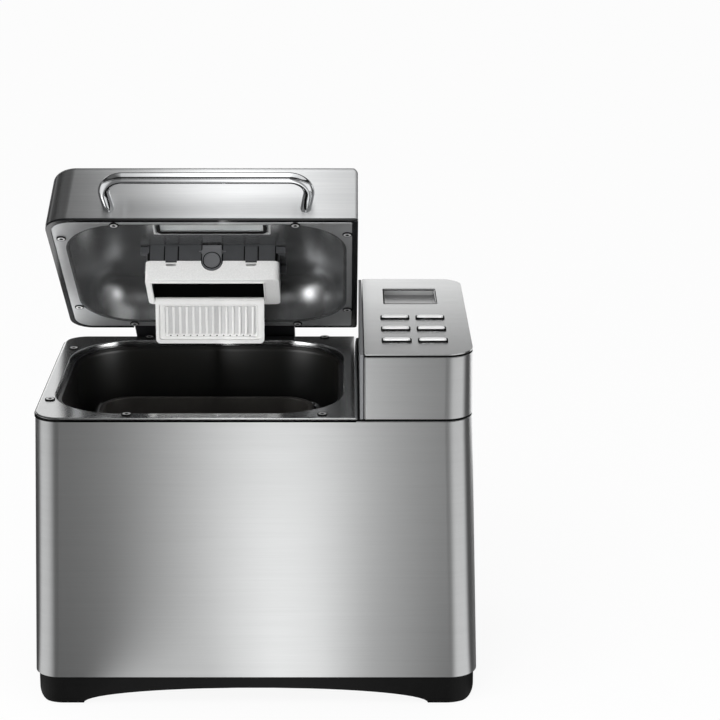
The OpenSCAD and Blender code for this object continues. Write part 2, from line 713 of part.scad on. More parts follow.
module control_fascia() color(steel) placed() difference() {
    translate([0, 0, fascia_z]) linear_extrude(fascia_t) pod_outline(0.2);
    block(lcd_x0, lcd_y0, fascia_z - 1, lcd_x1, lcd_y1, top_z + 1);
    for (p = buttons_at) translate([p[0], p[1], fascia_z - 1]) linear_extrude(5)
        pill_2d(button_w + 2 * gap, button_d + 2 * gap);
}

glass_in = 2.2;
lcd_front = 5;
function lcd_slope(y) = fascia_z + 0.2 - lcd_drop * (y - lcd_y0) / lcd_d;

// Slab that follows the sloping floor of the display recess
module lcd_wedge(x0, x1, y0, y1, low, high) along_x(x0, x1) polygon([[y0, lcd_slope(y0) + low],
    [y1, lcd_slope(y1) + low], [y1, lcd_slope(y1) + high], [y0, lcd_slope(y0) + high]]);

lcd_x0 = lcd_x - lcd_w / 2;
lcd_x1 = lcd_x + lcd_w / 2;

module lcd_bezel() color(silver) placed() difference() {
    block(lcd_x0 - 1.5, lcd_y0 - 1.5, fascia_z - lcd_drop - 2.4, lcd_x1 + 1.5, lcd_y1 + 1.5, fascia_z - 0.05);
    along_x(lcd_x0, lcd_x1) polygon([[lcd_y0, lcd_slope(lcd_y0)], [lcd_y1, lcd_slope(lcd_y1)],
        [lcd_y1, top_z], [lcd_y0, top_z]]);
    lcd_wedge(lcd_x0 + glass_in, lcd_x1 - glass_in, lcd_y0 + lcd_front, lcd_y1 - 0.4, -8, 2);
}

module lcd_glass() color("#2b3136") placed()
    lcd_wedge(lcd_x0 + glass_in + 0.1, lcd_x1 - glass_in - 0.1,
        lcd_y0 + lcd_front + 0.1, lcd_y1 - 0.5, -1.2, -0.2);

module lcd_module() color("#3a4a3e") placed()
    block(lcd_x0 - 1, lcd_y0 + 2, board_z + 1.7, lcd_x1 + 1, lcd_y1, fascia_z - lcd_drop - 2.5);

button_low = fascia_z - 2.2;
switch_top = button_low - button_travel - 0.2;

module control_board() color("#2f5d3a") placed() {
    block(pod_left + 8, button_y - 2 * button_dy - 18.5, board_z, half_w - 8, lcd_y1 + 4, board_z + 1.6);
    for (p = buttons_at) translate([p[0], p[1], board_z + 1.6]) {
        block(-3, -3, 0, 3, 3, 3.4);
        cylinder(r = 1.75, h = switch_top - board_z - 1.6);
    }
}

// One button: a pill cap with a wider collar that the fascia holds down
module button(i) color(silver) placed() translate([buttons_at[i][0], buttons_at[i][1], button_low]) {
    linear_extrude(top_z + button_rise - button_low) pill_2d(button_w, button_d);
    linear_extrude(1.9) pill_2d(button_w + 3, button_d + 3);
}

module menu_button() button(0);
module colour_button() button(1);
module loaf_button() button(2);
module time_up_button() button(3);
module time_down_button() button(4);
module start_button() button(5);

// -------------------------------------------------------------------- lid

module window_hole(grow, z0, z1) block(window_x0 - grow, window_y0 - grow, z0,
    window_x0 + window_w + grow, window_y0 + window_d + grow, z1);

module lid_cover() color(steel) on_lid() difference() {
    lid_form(lid_z0, 0);
    lid_form(lid_z0 - 1, sheet);
    window_hole(ring_w + 0.2, ceiling_z, lid_top + 1);
    block(hinge_x0 - gap, lid_y1 - 4, lid_z0 - 2, hinge_x1 + gap, lid_y1 + 2, hinge_z + 17);
    for (x = handle_feet) rod_y(lid_y0 - 1, lid_y0 + 3, x, handle_z, 2.2);
}

module lid_ring(z0, z1, outer, inner) translate([0, 0, z0]) linear_extrude(z1 - z0) difference() {
    lid_outline(outer);
    panel_2d(lid_x0 + inner, lid_y0 + inner, lid_x1 - inner, lid_y1 - inner, lid_r - 2, 2, 2, lid_r - 2);
}

module lid_frame() color(black) on_lid() difference() {
    union() {
        lid_ring(frame_z, lid_z0 - 0.1, 0.3, liner_in - 0.3);
        lid_ring(liner_z + 0.1, liner_z + 3, 1.5, liner_rim - 2.9);
    }
    block(hinge_x0 - gap, lid_y1 - 4, frame_z - 2, hinge_x1 + gap, lid_y1 + 2, hinge_z + 17);
    block(hinge_x0 - gap, lid_y1 - 14, liner_z - 0.2, hinge_x1 + gap, lid_y1 + 2, hinge_z + 17);
}

screw_y0 = 36;
screw_y1 = 49;
liner_screws_at = [[lid_x0 + 11.8, screw_y0], [lid_x0 + 11.8, lid_y1 - screw_y1], [lid_x1 - 9, screw_y0 - 8],
    [lid_x1 - 9, lid_y1 - screw_y1 + 6], [lid_x - 72, lid_y0 + 8.8], [lid_x + 78, lid_y0 + 8.8],
    [lid_x - 72, lid_y1 - 11], [lid_x + 76, lid_y1 - 11]];

module lid_liner() color("#7b7d7f") on_lid() difference() {
    union() {
        translate([0, 0, liner_z - 1]) linear_extrude(1)
            panel_2d(lid_x0 + liner_in, lid_y0 + liner_in, lid_x1 - liner_in, lid_y1 - liner_in,
                lid_r - 4, 2, 2, lid_r - 4);
        bowl_form(liner_z - 1, 1);
    }
    bowl_form(liner_z - 2, 0);
    window_hole(0, ceiling_z - 3, ceiling_z + 3);
    for (p = liner_screws_at) translate([p[0], p[1], liner_z - 2]) cylinder(r = 1.6, h = 3);
    block(latch_x - 6, latch_y - 6, ceiling_z - 2, latch_x + 6, latch_y + 6, ceiling_z + 3);
}

module liner_screws() color(silver) on_lid() for (p = liner_screws_at)
    translate([p[0], p[1], liner_z - 1]) mirror([0, 0, 1]) cross_screw(3.2, 1, 1.5, 1);

module window_frame() color(silver) on_lid() difference() {
    union() {
        window_hole(-0.3, ceiling_z - 1.4, lid_top - 0.3);
        window_hole(ring_w, ceiling_z + 1.1, lid_top);
    }
    window_hole(-4, ceiling_z - 3, lid_top + 1);
    window_hole(-1.9, lid_top - pane_t - 0.4, lid_top + 1);
    window_hole(-1.9, ceiling_z - 3, ceiling_z - 1.2 + pane_t);
}

module window_panes() color("#dfe8ec", 0.35) on_lid()
    for (z = [ceiling_z - 1.3, lid_top - pane_t - 0.2]) window_hole(-2, z, z + pane_t);

// Handle: a bent tube whose plane leans up from the band
handle_x = lid_x + 5.5;
handle_z = lid_z0 + 10;
handle_feet = [handle_x - handle_span / 2, handle_x + handle_span / 2];
handle_rise = 20;
handle_splay = 9;
handle_bend = 16;
handle_r = handle_d / 2;

handle_leg = (handle_reach - handle_bend * (1 + sin(handle_splay))) / cos(handle_splay);
handle_turn = handle_span / 2 + handle_leg * sin(handle_splay) - handle_bend * cos(handle_splay);

// Places along the handle, each with the direction in which the tube runs there
function handle_arc(x, from, to) = [for (k = [0 : 8]) let (h = from + (to - from) * k / 8)
    [x + handle_bend * sin(h), -handle_reach + handle_bend - handle_bend * cos(h), h]];

function handle_foot(side, h) = [side * (handle_span / 2 - 5 * sin(handle_splay)), 5 * cos(handle_splay), h];

handle_path = concat([handle_foot(-1, 270 - handle_splay)], handle_arc(-handle_turn, 270 - handle_splay, 360),
    handle_arc(handle_turn, 360, 450 + handle_splay), [handle_foot(1, 450 + handle_splay)]);

module lid_handle() color("#d8dadc") on_lid() translate([handle_x, lid_y0, handle_z]) difference() {
    rotate([-handle_rise, 0, 0]) loft([for (p = handle_path) [for (b = [0 : 22.5 : 337.5])
        [p[0] - handle_r * cos(b) * sin(p[2]), p[1] + handle_r * cos(b) * cos(p[2]), handle_r * sin(b)]]]);
    block(-handle_span, 0, -30, handle_span, 30, 30);
    for (x = [-1, 1]) rod_y(-4, 1, x * handle_span / 2, 0, 1.6);
}

module handle_screws() color(silver) on_lid() for (x = handle_feet) {
    rod_y(lid_y0 - 4, lid_y0 + sheet, x, handle_z, 1.6);
    rod_y(lid_y0 + sheet, lid_y0 + sheet + 2.5, x, handle_z, 4);
}

// ------------------------------------------------------------------ hinge

barrel_r = pin_d / 2 + 2.3;
riser_y = hinge_y + 8;
riser_t = 5;
arm_z = hinge_z + 16;

module hinge_block() color(black) on_lid() difference() {
    union() {
        rod_x(knuckle_x0, knuckle_x1, hinge_y, hinge_z, barrel_r);
        block(knuckle_x0, hinge_y, hinge_z - 4, knuckle_x1, riser_y + 1, hinge_z + 4);
        block(hinge_x0, riser_y, hinge_z - 4, hinge_x1, riser_y + riser_t, arm_z);
        block(hinge_x0, lid_y1 - 10, lid_z0, hinge_x1, riser_y + riser_t, arm_z);
    }
    rod_x(knuckle_x0 - 1, knuckle_x1 + 1, hinge_y, hinge_z, pin_d / 2 + run_fit);
}

module hinge_pin() color(silver) placed()
    rod_x(knuckle_x0 - ear_gap - ear_t, knuckle_x1 + ear_gap + ear_t, hinge_y, hinge_z, pin_d / 2);

module hinge_bracket() color("#8a8d90") placed() difference() {
    x0 = knuckle_x0 - ear_gap - ear_t;
    x1 = knuckle_x1 + ear_gap + ear_t;
    union() {
        for (x = [x0, x1 - ear_t]) {
            rod_x(x, x + ear_t, hinge_y, hinge_z, barrel_r);
            block(x, hinge_y - 9, hinge_z - 13, x + ear_t, hinge_y - 3.4, hinge_z + barrel_r);
            block(x, hinge_y - 3, hinge_z - barrel_r, x + ear_t, hinge_y, hinge_z + barrel_r);
        }
        block(x0, hinge_y - 9, hinge_z - 13, x1, hinge_y - 7, hinge_z + barrel_r);
    }
    rod_x(x0 - 1, x1 + 1, hinge_y, hinge_z, pin_d / 2);
}

// -------------------------------------------------------------- dispenser

house_in = 1.5;
house_t = 2;
frame_t = house_in - 0.1;

module dispenser_housing() color("#2a2b2d") on_lid() difference() {
    union() {
        translate([0, 0, disp_z + 3]) linear_extrude(ceiling_z - disp_z - 3.1)
            round_2d(disp_x0 + house_in, disp_y0 + house_in, disp_x1 - house_in, disp_y1 - house_in, 7);
        translate([0, 0, disp_z + frame_h + 0.2]) linear_extrude(ceiling_z - disp_z - frame_h - 0.3)
            round_2d(disp_x0 + 0.2, disp_y0 + house_in, disp_x1 - 0.2, disp_y1 - house_in, 7);
        for (s = [-1, 1], y = [disp_y0 + 3, disp_y1 - 11]) {
            x = disp_x + s * (frame_w / 2 + 1);
            block(x - 4, y, ceiling_z - 7, x + 4, y + 5, ceiling_z - 1);
        }
    }
    translate([0, 0, disp_z]) linear_extrude(ceiling_z - disp_z - house_t)
        round_2d(flap_x0 - flap_slot, flap_y0 - 0.6, flap_x1 + flap_slot, disp_y1 - house_in - house_t, 2);
    block(latch_x - latch_r - 1, disp_y0, disp_z, latch_x + latch_r + 1, latch_y + 4, ceiling_z + 1);
    rod_x(latch_x - latch_r - 4, latch_x + latch_r + 4, latch_y, latch_z, latch_pin_r + run_fit);
}

module dispenser_frame() color(silver) on_lid() difference() {
    translate([0, 0, disp_z]) linear_extrude(frame_h) round_2d(disp_x0, disp_y0, disp_x1, disp_y1, 5);
    translate([0, 0, disp_z + 2.9]) linear_extrude(frame_h)
        round_2d(disp_x0 + frame_t, disp_y0 + frame_t, disp_x1 - frame_t, disp_y1 - frame_t, 5);
    block(flap_x0 - flap_slot, flap_y0 - 0.6, disp_z - 1, flap_x1 + flap_slot, flap_y + 4.2, disp_z + 4);
    rod_x(flap_x0 - flap_pin_out, flap_x1 + flap_pin_out, flap_y, flap_z, flap_pin_r);
    translate([latch_x, disp_y0 - 1, latch_low]) rotate([-90, 0, 0]) cylinder(r = latch_r + 1, h = 6);
    block(latch_x - latch_r - 1, disp_y0 - 1, latch_low,
        latch_x + latch_r + 1, disp_y0 + 5, disp_z + frame_h + 1);
    for (x = [disp_x - 36, disp_x + 34]) translate([x, disp_y0, disp_z + frame_h])
        block(-5, -1, -1.6, 5, 3, 1);
}

rib_gap = 5.9;

module dispenser_flap() color(silver) on_flap() difference() {
    union() {
        difference() {
            translate([0, 0, flap_low]) linear_extrude(flap_t + flap_rim)
                panel_2d(flap_x0, flap_y0, flap_x1, flap_y, 4, 4, 1, 1);
            translate([0, 0, flap_low + flap_t]) linear_extrude(flap_rim + 1)
                panel_2d(flap_x0 + 3, flap_y0 + 3, flap_x1 - 3, flap_y - 3.5, 3, 3, 1, 1);
        }
        for (x = [flap_x - 6.5 * rib_gap : rib_gap : flap_x + 6.6 * rib_gap])
            block(x - 0.8, flap_y0 + 9, flap_z - 0.3, x + 0.8, flap_y - 6, flap_z + 1.1);
        rod_x(flap_x0, flap_x1, flap_y, flap_z, flap_barrel_r);
    }
    rod_x(flap_x0 - 1, flap_x1 + 1, flap_y, flap_z, flap_pin_r + run_fit);
}

module flap_pin() color(silver) on_lid()
    rod_x(flap_x0 - flap_pin_out, flap_x1 + flap_pin_out, flap_y, flap_z, flap_pin_r);

module dispenser_latch() color("#3c3d40") on_lid() {
    block(latch_x - latch_r, latch_y - 3.5, latch_low, latch_x + latch_r, latch_y - 1, latch_z + 3);
    translate([latch_x, latch_y - 1, latch_low]) rotate([90, 0, 0]) cylinder(r = latch_r, h = 2.5);
    translate([latch_x, latch_y - 3.5, latch_low]) rotate([90, 0, 0]) cylinder(r = latch_r - 1.5, h = 1);
    rod_x(latch_x - latch_r, latch_x + latch_r, latch_y, latch_z, 2.5);
    rod_x(latch_x - latch_r - 3.5, latch_x + latch_r + 3.5, latch_y, latch_z, latch_pin_r);
    block(latch_x - 4, latch_y - 2, latch_z, latch_x + 4, latch_y + 1, ceiling_z + 7);
}

module dispenser_solenoid() color("#8c6a3a") on_lid() {
    block(latch_x - 8, latch_y + 7, ceiling_z + 1.2, latch_x + 8, latch_y + 33, ceiling_z + 12);
    rod_y(latch_y + 2.8, latch_y + 8, latch_x, ceiling_z + 5, 1.5);
}

// -------------------------------------------------------------- bread pan

pan_r = 26;
pan_taper = 4;

module pan_2d(inset) round_2d(oven_x - pan_w / 2 + inset, oven_y - pan_d / 2 + inset,
    oven_x + pan_w / 2 - inset, oven_y + pan_d / 2 - inset, pan_r - inset);

function pan_ring(z, inset) = ring(oven_x - pan_w / 2 + inset, oven_y - pan_d / 2 + inset,
    oven_x + pan_w / 2 - inset, oven_y + pan_d / 2 - inset, [for (i = [0 : 3]) pan_r - inset], z);

module pan_form(z0, z1, inset) loft([pan_ring(z0, inset + pan_taper), pan_ring(z1, inset)]);

ear_x = pan_w / 2;

module bread_pan() color("#55524f") placed() difference() {
    union() {
        pan_form(pan_bottom, rim_z, 0);
        translate([0, 0, rim_z - 2]) linear_extrude(2) pan_2d(-3);
        for (s = [-1, 1]) translate([oven_x + s * (ear_x + 0.5), 0, 0]) rod_x(-3, 3, oven_y, bail_z, 6);
    }
    pan_form(pan_bottom + pan_t, rim_z + 1, pan_t);
    for (s = [-1, 1]) translate([oven_x + s * (ear_x + 3), 0, 0])
        rod_x(-4, 4, oven_y, bail_z, bail_d / 2 + run_fit);
    translate([oven_x, oven_y, pan_bottom - 1]) cylinder(r = 9.1, h = 5);
}

module pan_base() color("#8a8d90") placed() translate([oven_x, oven_y, 0]) difference() {
    union() {
        translate([0, 0, oven_floor + gap]) cylinder(r = skirt_r, h = pan_bottom - oven_floor - gap);
        translate([0, 0, pan_bottom - 1]) cylinder(r = 9, h = 4);
    }
    translate([0, 0, oven_floor]) cylinder(r = skirt_r - 4, h = pan_bottom - oven_floor - 2.5);
    translate([0, 0, oven_floor]) cylinder(r = 5 + run_fit, h = 40);
}

bail_reach = pan_d / 2 + 9;
bail_x = ear_x + bail_out + bail_d / 2 + 0.6;
bail_bend = 14;

module pan_handle() color(silver) placed() translate([oven_x, oven_y, bail_z]) {
    r = bail_d / 2;
    for (s = [-1, 1]) flip_x(s) {
        rod_x(ear_x + 0.6, bail_x, 0, 0, r);
        translate([bail_x, 0, 0]) sphere(r);
        rod_y(0, bail_reach - bail_bend, bail_x, 0, r);
        translate([bail_x - bail_bend, bail_reach - bail_bend, 0])
            rotate_extrude(angle = 90) translate([bail_bend, 0]) circle(r);
    }
    rod_x(-bail_x + bail_bend, bail_x - bail_bend, bail_reach, 0, r);
}

dog_z = coupling_z + 5;

module paddle_shaft() color(silver) placed() translate([oven_x, oven_y, 0]) {
    translate([0, 0, dog_z]) cylinder(r = 5, h = pan_bottom + 27 - dog_z);
    block(-13, -3.5, dog_z, 13, 3.5, dog_z + 4);
}

module kneading_paddle() color("#4a4745") placed() translate([oven_x, oven_y, pan_bottom + 5]) difference() {
    union() {
        cylinder(r = 9, h = 20);
        hull() {
            translate([0, 0, 0]) cylinder(r = 4, h = 14, $fn = 32);
            translate([44, 0, 0]) cylinder(r = 2, h = 26, $fn = 32);
            translate([20, 0, 0]) cylinder(r = 3, h = 24, $fn = 32);
        }
    }
    translate([0, 0, -1]) cylinder(r = 5, h = 23);
}

// ------------------------------------------------------------------ nodes

base_tray();
rubber_feet();
outer_shell();
rear_panel();
top_deck();
deck_screws();
upper_frame();
oven_chamber();
heating_element();
heater_clips();
temperature_sensor();
pan_seat();
chassis_plate();
spindle_bearing();
drive_spindle();
drive_coupling();
driven_pulley();
drive_belt();
motor_pulley();
motor_shaft();
motor_rotor();
motor_housing();
motor_bracket();
power_board();
mains_inlet();
pod_housing();
pod_panel();
control_fascia();
lcd_bezel();
lcd_glass();
lcd_module();
control_board();
menu_button();
colour_button();
loaf_button();
time_up_button();
time_down_button();
start_button();
lid_cover();
lid_frame();
lid_liner();
liner_screws();
window_frame();
window_panes();
lid_handle();
handle_screws();
hinge_block();
hinge_pin();
hinge_bracket();
dispenser_housing();
dispenser_frame();
dispenser_flap();
flap_pin();
dispenser_latch();
dispenser_solenoid();
bread_pan();
pan_base();
pan_handle();
paddle_shaft();
kneading_paddle();
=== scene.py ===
# %% [markdown]
# # A bread machine, piece by piece
#
# This file builds the looks of a household bread machine round a frame that
# comes from its CAD model. Every piece sits in the same frame: metres, +X to
# the control pod, +Y to the back, +Z up, and z = 0 where the feet stand.
# New surfaces are worked out with numpy as whole arrays of points, because a
# pressed steel panel is easy to describe as "this outline, carried along that
# edge". The small moulded parts reuse the CAD solids, with their edges eased.

# %% Load the frame
import math

import bmesh
import bpy
import numpy as np
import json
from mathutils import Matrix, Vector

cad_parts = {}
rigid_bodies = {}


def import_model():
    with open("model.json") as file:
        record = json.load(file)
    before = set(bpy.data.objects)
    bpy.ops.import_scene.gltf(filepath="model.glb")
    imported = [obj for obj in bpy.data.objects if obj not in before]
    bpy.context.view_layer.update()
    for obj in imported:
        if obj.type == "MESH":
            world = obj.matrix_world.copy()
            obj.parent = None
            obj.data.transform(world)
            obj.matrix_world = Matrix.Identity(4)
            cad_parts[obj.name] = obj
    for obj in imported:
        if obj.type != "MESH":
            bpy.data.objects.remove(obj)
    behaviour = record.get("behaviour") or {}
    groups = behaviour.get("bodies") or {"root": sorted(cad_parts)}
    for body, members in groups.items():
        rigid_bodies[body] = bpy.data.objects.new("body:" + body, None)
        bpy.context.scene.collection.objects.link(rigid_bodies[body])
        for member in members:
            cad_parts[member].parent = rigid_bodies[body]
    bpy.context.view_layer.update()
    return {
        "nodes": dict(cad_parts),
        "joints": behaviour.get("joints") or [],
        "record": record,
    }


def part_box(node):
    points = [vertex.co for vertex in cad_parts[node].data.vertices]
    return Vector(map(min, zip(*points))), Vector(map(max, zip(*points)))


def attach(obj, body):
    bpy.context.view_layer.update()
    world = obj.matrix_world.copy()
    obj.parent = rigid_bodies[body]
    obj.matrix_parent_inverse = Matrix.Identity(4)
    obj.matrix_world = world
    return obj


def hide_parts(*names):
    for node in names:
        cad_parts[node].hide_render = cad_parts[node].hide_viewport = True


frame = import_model()

# %% [markdown]
# ## Measures taken from the frame
#
# Positions come from the CAD boxes, so nothing has to be fitted by eye. The
# lid is stored open. Its joint says where the hinge axis is and how far the
# lid still has to turn to be shut, so every lid piece can be drawn on the
# closed lid, where it is square, and then be turned open.

# %% Millimetres and boxes
MM = 0.001


def low(node):
    """Lowest corner of a CAD node, in millimetres."""
    return np.array(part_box(node)[0]) / MM


def high(node):
    """Highest corner of a CAD node, in millimetres."""
    return np.array(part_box(node)[1]) / MM


front_y = low("outer_shell")[1]
back_y = high("outer_shell")[1]
deck_z = high("top_deck")[2]
top_z = high("control_fascia")[2]
half_w = -low("top_deck")[0]
deck_right = high("top_deck")[0]
shell_low_z = low("outer_shell")[2]
shell_top_z = high("outer_shell")[2]
front_r, pod_r, back_r = 22.0, 24.0, 20.0    # the body's upright corners
print("body: width", 2 * half_w, "depth", back_y - front_y, "deck", deck_z, "top", top_z)

# %% Joints: where the lid and the flap turn
joints = {j["name"]: j for j in frame["joints"]}
hinge_axis = np.array(joints["lid_hinge"]["pos_m"]) / MM
lid_angle = -joints["lid_hinge"]["range_deg"][0]
flap_axis = np.array(joints["flap_hinge"]["pos_m"]) / MM
flap_angle = -joints["flap_hinge"]["range_deg"][0]


def turned(points, axis, degrees):
    """Points turned about a line along X through axis: the usual rotation of (y, z)."""
    c, s = math.cos(math.radians(degrees)), math.sin(math.radians(degrees))
    dy, dz = points[..., 1] - axis[1], points[..., 2] - axis[2]
    return np.stack([points[..., 0], axis[1] + c * dy - s * dz, axis[2] + s * dy + c * dz], -1)


def opened(points):
    """From the closed lid to the lid as it stands open."""
    return turned(points, hinge_axis, -lid_angle)


def shut_again(points):
    """From the lid as it stands open to the closed lid."""
    return turned(points, hinge_axis, lid_angle)


def hanging(points):
    """From the shut flap of the closed lid to the flap that hangs from the open lid."""
    return turned(opened(points), flap_axis, flap_angle)


def corners(node):
    """The mesh points of a CAD node, in millimetres."""
    mesh = frame["nodes"][node].data
    co = np.zeros(len(mesh.vertices) * 3)
    mesh.vertices.foreach_get("co", co)
    return co.reshape(-1, 3) / MM


def closed_box(node):
    """Lowest and highest corner that a lid node would have on the closed lid."""
    shut = shut_again(corners(node))
    return shut.min(0), shut.max(0)


lid_low, lid_high = closed_box("lid_cover")
print("lid: open by", lid_angle, "degrees, closed box", lid_low.round(1), lid_high.round(1))

# %% [markdown]
# ## Camera, light and floor
#
# The camera stands well back with a long lens, so upright edges stay nearly
# parallel. Stainless steel has no look of its own: it shows what surrounds
# it. A pale room gives it the calm light tone, a soft box in front and one at
# each side give the bright bands, and cards behind, overhead and in the oven
# mouth give the top, the lid band and the bowl something to mirror. Only
# mirrored rays see the cards, so they add no light.

# %% Camera
TILT = 14.74
camera_data = bpy.data.cameras.new("camera")
camera_data.sensor_width = 36.0
camera_data.lens = 116.2
camera_data.shift_x = 0.0208
camera_data.shift_y = -0.0861
camera_data.clip_end = 20.0
camera = bpy.data.objects.new("camera", camera_data)
camera.location = (0.0751, -1.9395, 0.8293)
camera.rotation_euler = (math.radians(90.0 - TILT), 0.0, 0.0)
bpy.context.scene.collection.objects.link(camera)
bpy.context.scene.camera = camera
bpy.context.scene.view_settings.view_transform = "Standard"
print("camera at", tuple(camera.location), "lens", camera_data.lens)


# %% Colours and nodes
MAIN_FIELD = {"Math": "operation", "VectorMath": "operation", "MapRange": "interpolation_type",
              "Mix": "data_type"}
PLUS, MINUS, TIMES, OVER = "Math.ADD", "Math.SUBTRACT", "Math.MULTIPLY", "Math.DIVIDE"
LARGER, SMOOTH = "Math.MAXIMUM", "MapRange.SMOOTHSTEP"
WHITE = (1.0, 1.0, 1.0, 1.0)


def linear(code):
    """sRGB hex to linear RGBA: c / 12.92 below 0.04045, else ((c + 0.055) / 1.055) ** 2.4."""
    rgb = [int(code[i:i + 2], 16) / 255 for i in (1, 3, 5)]
    return (*[c / 12.92 if c <= 0.04045 else ((c + 0.055) / 1.055) ** 2.4 for c in rgb], 1.0)


def add(tree, kind, *values, settings=None, **links):
    """Adds one node. kind may end in its main setting, as in Math.ADD. values fill the inputs in order, and
    links name them, or number them as in i6. Each is a number, a socket, or a node for its first output."""
    kind, _, main = kind.partition(".")
    node = tree.nodes.new("ShaderNode" + kind)
    if main:
        setattr(node, MAIN_FIELD[kind], main)
    for field, value in (settings or {}).items():
        setattr(node, field, value)
    named = [(int(key[1:]) if key[1:].isdigit() else key.replace("_", " "), value)
             for key, value in links.items()]
    for key, value in [*enumerate(values), *named]:
        value = value.outputs[0] if isinstance(value, bpy.types.Node) else value
        if isinstance(value, bpy.types.NodeSocket):
            tree.links.new(value, node.inputs[key])
        else:
            node.inputs[key].default_value = value
    return node


# %% What the metal sees
FAN_LOW, FAN_HIGH = -0.14, 0.05
FAN_STOPS = [(0.04, 0.10), (0.18, 0.14), (0.33, 0.37), (0.47, 0.70),
             (0.57, 0.88), (0.67, 0.78), (0.80, 0.37), (0.98, 0.16)]
STEEL_GAIN = 2.27


def striped_light(tree, value, start, end, stops, gain):
    """Tone of a graded soft box as value runs from start to end, by stops of (share, tone) times gain."""
    ramp = add(tree, "ValToRGB", add(tree, "MapRange", value, start, end))
    elements = ramp.color_ramp.elements
    elements[0].position, elements[1].position = stops[0][0], stops[-1][0]
    for position, _ in stops[1:-1]:
        elements.new(position)
    for element, (_, tone) in zip(elements, stops):
        element.color = (tone, tone, tone, 1.0)
    return add(tree, TIMES, ramp, gain)


def fan_tone(tree, across):
    """The tall soft box in front: a broad bright band, given by how far to the side a ray runs."""
    return striped_light(tree, across, FAN_LOW, FAN_HIGH, FAN_STOPS, STEEL_GAIN)


def side_tones(tree, across, ahead):
    """Soft boxes at both sides, which give each rounded corner its bright strip, by a ray's (across, ahead)."""
    on_left = add(tree, SMOOTH, across, -0.25, -0.95, 0.0, 0.88)
    left_end = add(tree, SMOOTH, ahead, 0.0, 0.45, 1.0, 0.10)
    on_right = add(tree, SMOOTH, across, 0.08, 0.68, 0.0, 0.95)
    right_end = add(tree, SMOOTH, ahead, -0.25, 0.15, 1.0, 0.10)
    return add(tree, LARGER, add(tree, TIMES, on_left, left_end), add(tree, TIMES, on_right, right_end))


# %% World
DAYLIGHT = 0.80
BAND_DARK, CEILING_DIM = 0.93, 0.3
world = bpy.data.worlds.new("pale_room")
world.use_nodes = True
bpy.context.scene.world = world
tree = world.node_tree
tree.nodes.clear()
rays = add(tree, "LightPath").outputs
dir_x, dir_y, dir_z = add(tree, "SeparateXYZ", add(tree, "TexCoord").outputs["Generated"]).outputs
in_front = add(tree, LARGER, fan_tone(tree, dir_x), side_tones(tree, dir_x, dir_y))
band = add(tree, TIMES, add(tree, SMOOTH, dir_z, 0.02, 0.08), add(tree, SMOOTH, dir_z, 0.74, 0.68))
in_front = add(tree, TIMES, in_front, add(tree, MINUS, 1.0, add(tree, TIMES, band, BAND_DARK)))
behind = add(tree, SMOOTH, dir_z, 0.16, 0.26, 0.95, 0.12)
behind = add(tree, TIMES, behind, add(tree, SMOOTH, add(tree, "Math.ABSOLUTE", dir_x), 0.35, 0.6, 1.0, 0.25))
around = add(tree, "Mix", i0=add(tree, SMOOTH, dir_y, -0.05, 0.12), i2=in_front, i3=behind)
ceiling = add(tree, PLUS, fan_tone(tree, dir_x), add(tree, SMOOTH, dir_x, -0.10, 0.10, 0.0, 0.35))
ceiling = add(tree, TIMES, ceiling, CEILING_DIM)
seen = add(tree, "Mix", i0=add(tree, SMOOTH, dir_z, 0.60, 0.68), i2=around, i3=ceiling)
level = add(tree, "Mix", i0=rays["Is Glossy Ray"], i2=DAYLIGHT, i3=seen)
looked_at = add(tree, LARGER, rays["Is Camera Ray"], rays["Is Transmission Ray"])
level = add(tree, "Mix", i0=looked_at, i2=level, i3=1.0)
add(tree, "OutputWorld", add(tree, "Background", Color=WHITE, Strength=level))
print("world: pale room with a soft box in front and one at each side")


# %% Stage pieces
def empty_material(name):
    """A new material without nodes; returns (material, node tree)."""
    material = bpy.data.materials.new(name)
    material.use_nodes = True
    material.node_tree.nodes.clear()
    return material, material.node_tree


def flat_card(name, centre, size, turn=(0, 0, 0)):
    """A rectangle that isn't part of the object, with an empty material; returns (object, node tree)."""
    w, d = size[0] / 2, size[1] / 2
    mesh = bpy.data.meshes.new(name)
    mesh.from_pydata([(-w, -d, 0), (w, -d, 0), (w, d, 0), (-w, d, 0)], [], [(0, 1, 2, 3)])
    card = bpy.data.objects.new(name, mesh)
    card.location = centre
    card.rotation_euler = [math.radians(a) for a in turn]
    bpy.context.scene.collection.objects.link(card)
    material, tree = empty_material(name)
    mesh.materials.append(material)
    return card, tree


# %% Floor: white to look at, and for the steel a striped pool of light
BANDS_X, BANDS_Y = 0.0751, 1.6722    # behind the body: the floor's bands of light fan out from here
LEAST_TONE, FLOOR_GLOW = 0.08, 0.9
_, tree = flat_card("floor", (0, 0, 0), (40, 40))
rays = add(tree, "LightPath").outputs
floor_x, floor_y, _ = add(tree, "SeparateXYZ", add(tree, "TexCoord").outputs["Object"]).outputs
across = add(tree, OVER, add(tree, MINUS, floor_x, BANDS_X), add(tree, MINUS, BANDS_Y, floor_y))


def bearing(tree, x, y):
    """Direction from a corner of the body to a place on the floor: (dx / length, dy / length)."""
    dx, dy = add(tree, MINUS, floor_x, x), add(tree, MINUS, floor_y, y)
    length = add(tree, "Math.SQRT", add(tree, PLUS, add(tree, TIMES, dx, dx), add(tree, TIMES, dy, dy)))
    return add(tree, OVER, dx, length), add(tree, OVER, dy, length)


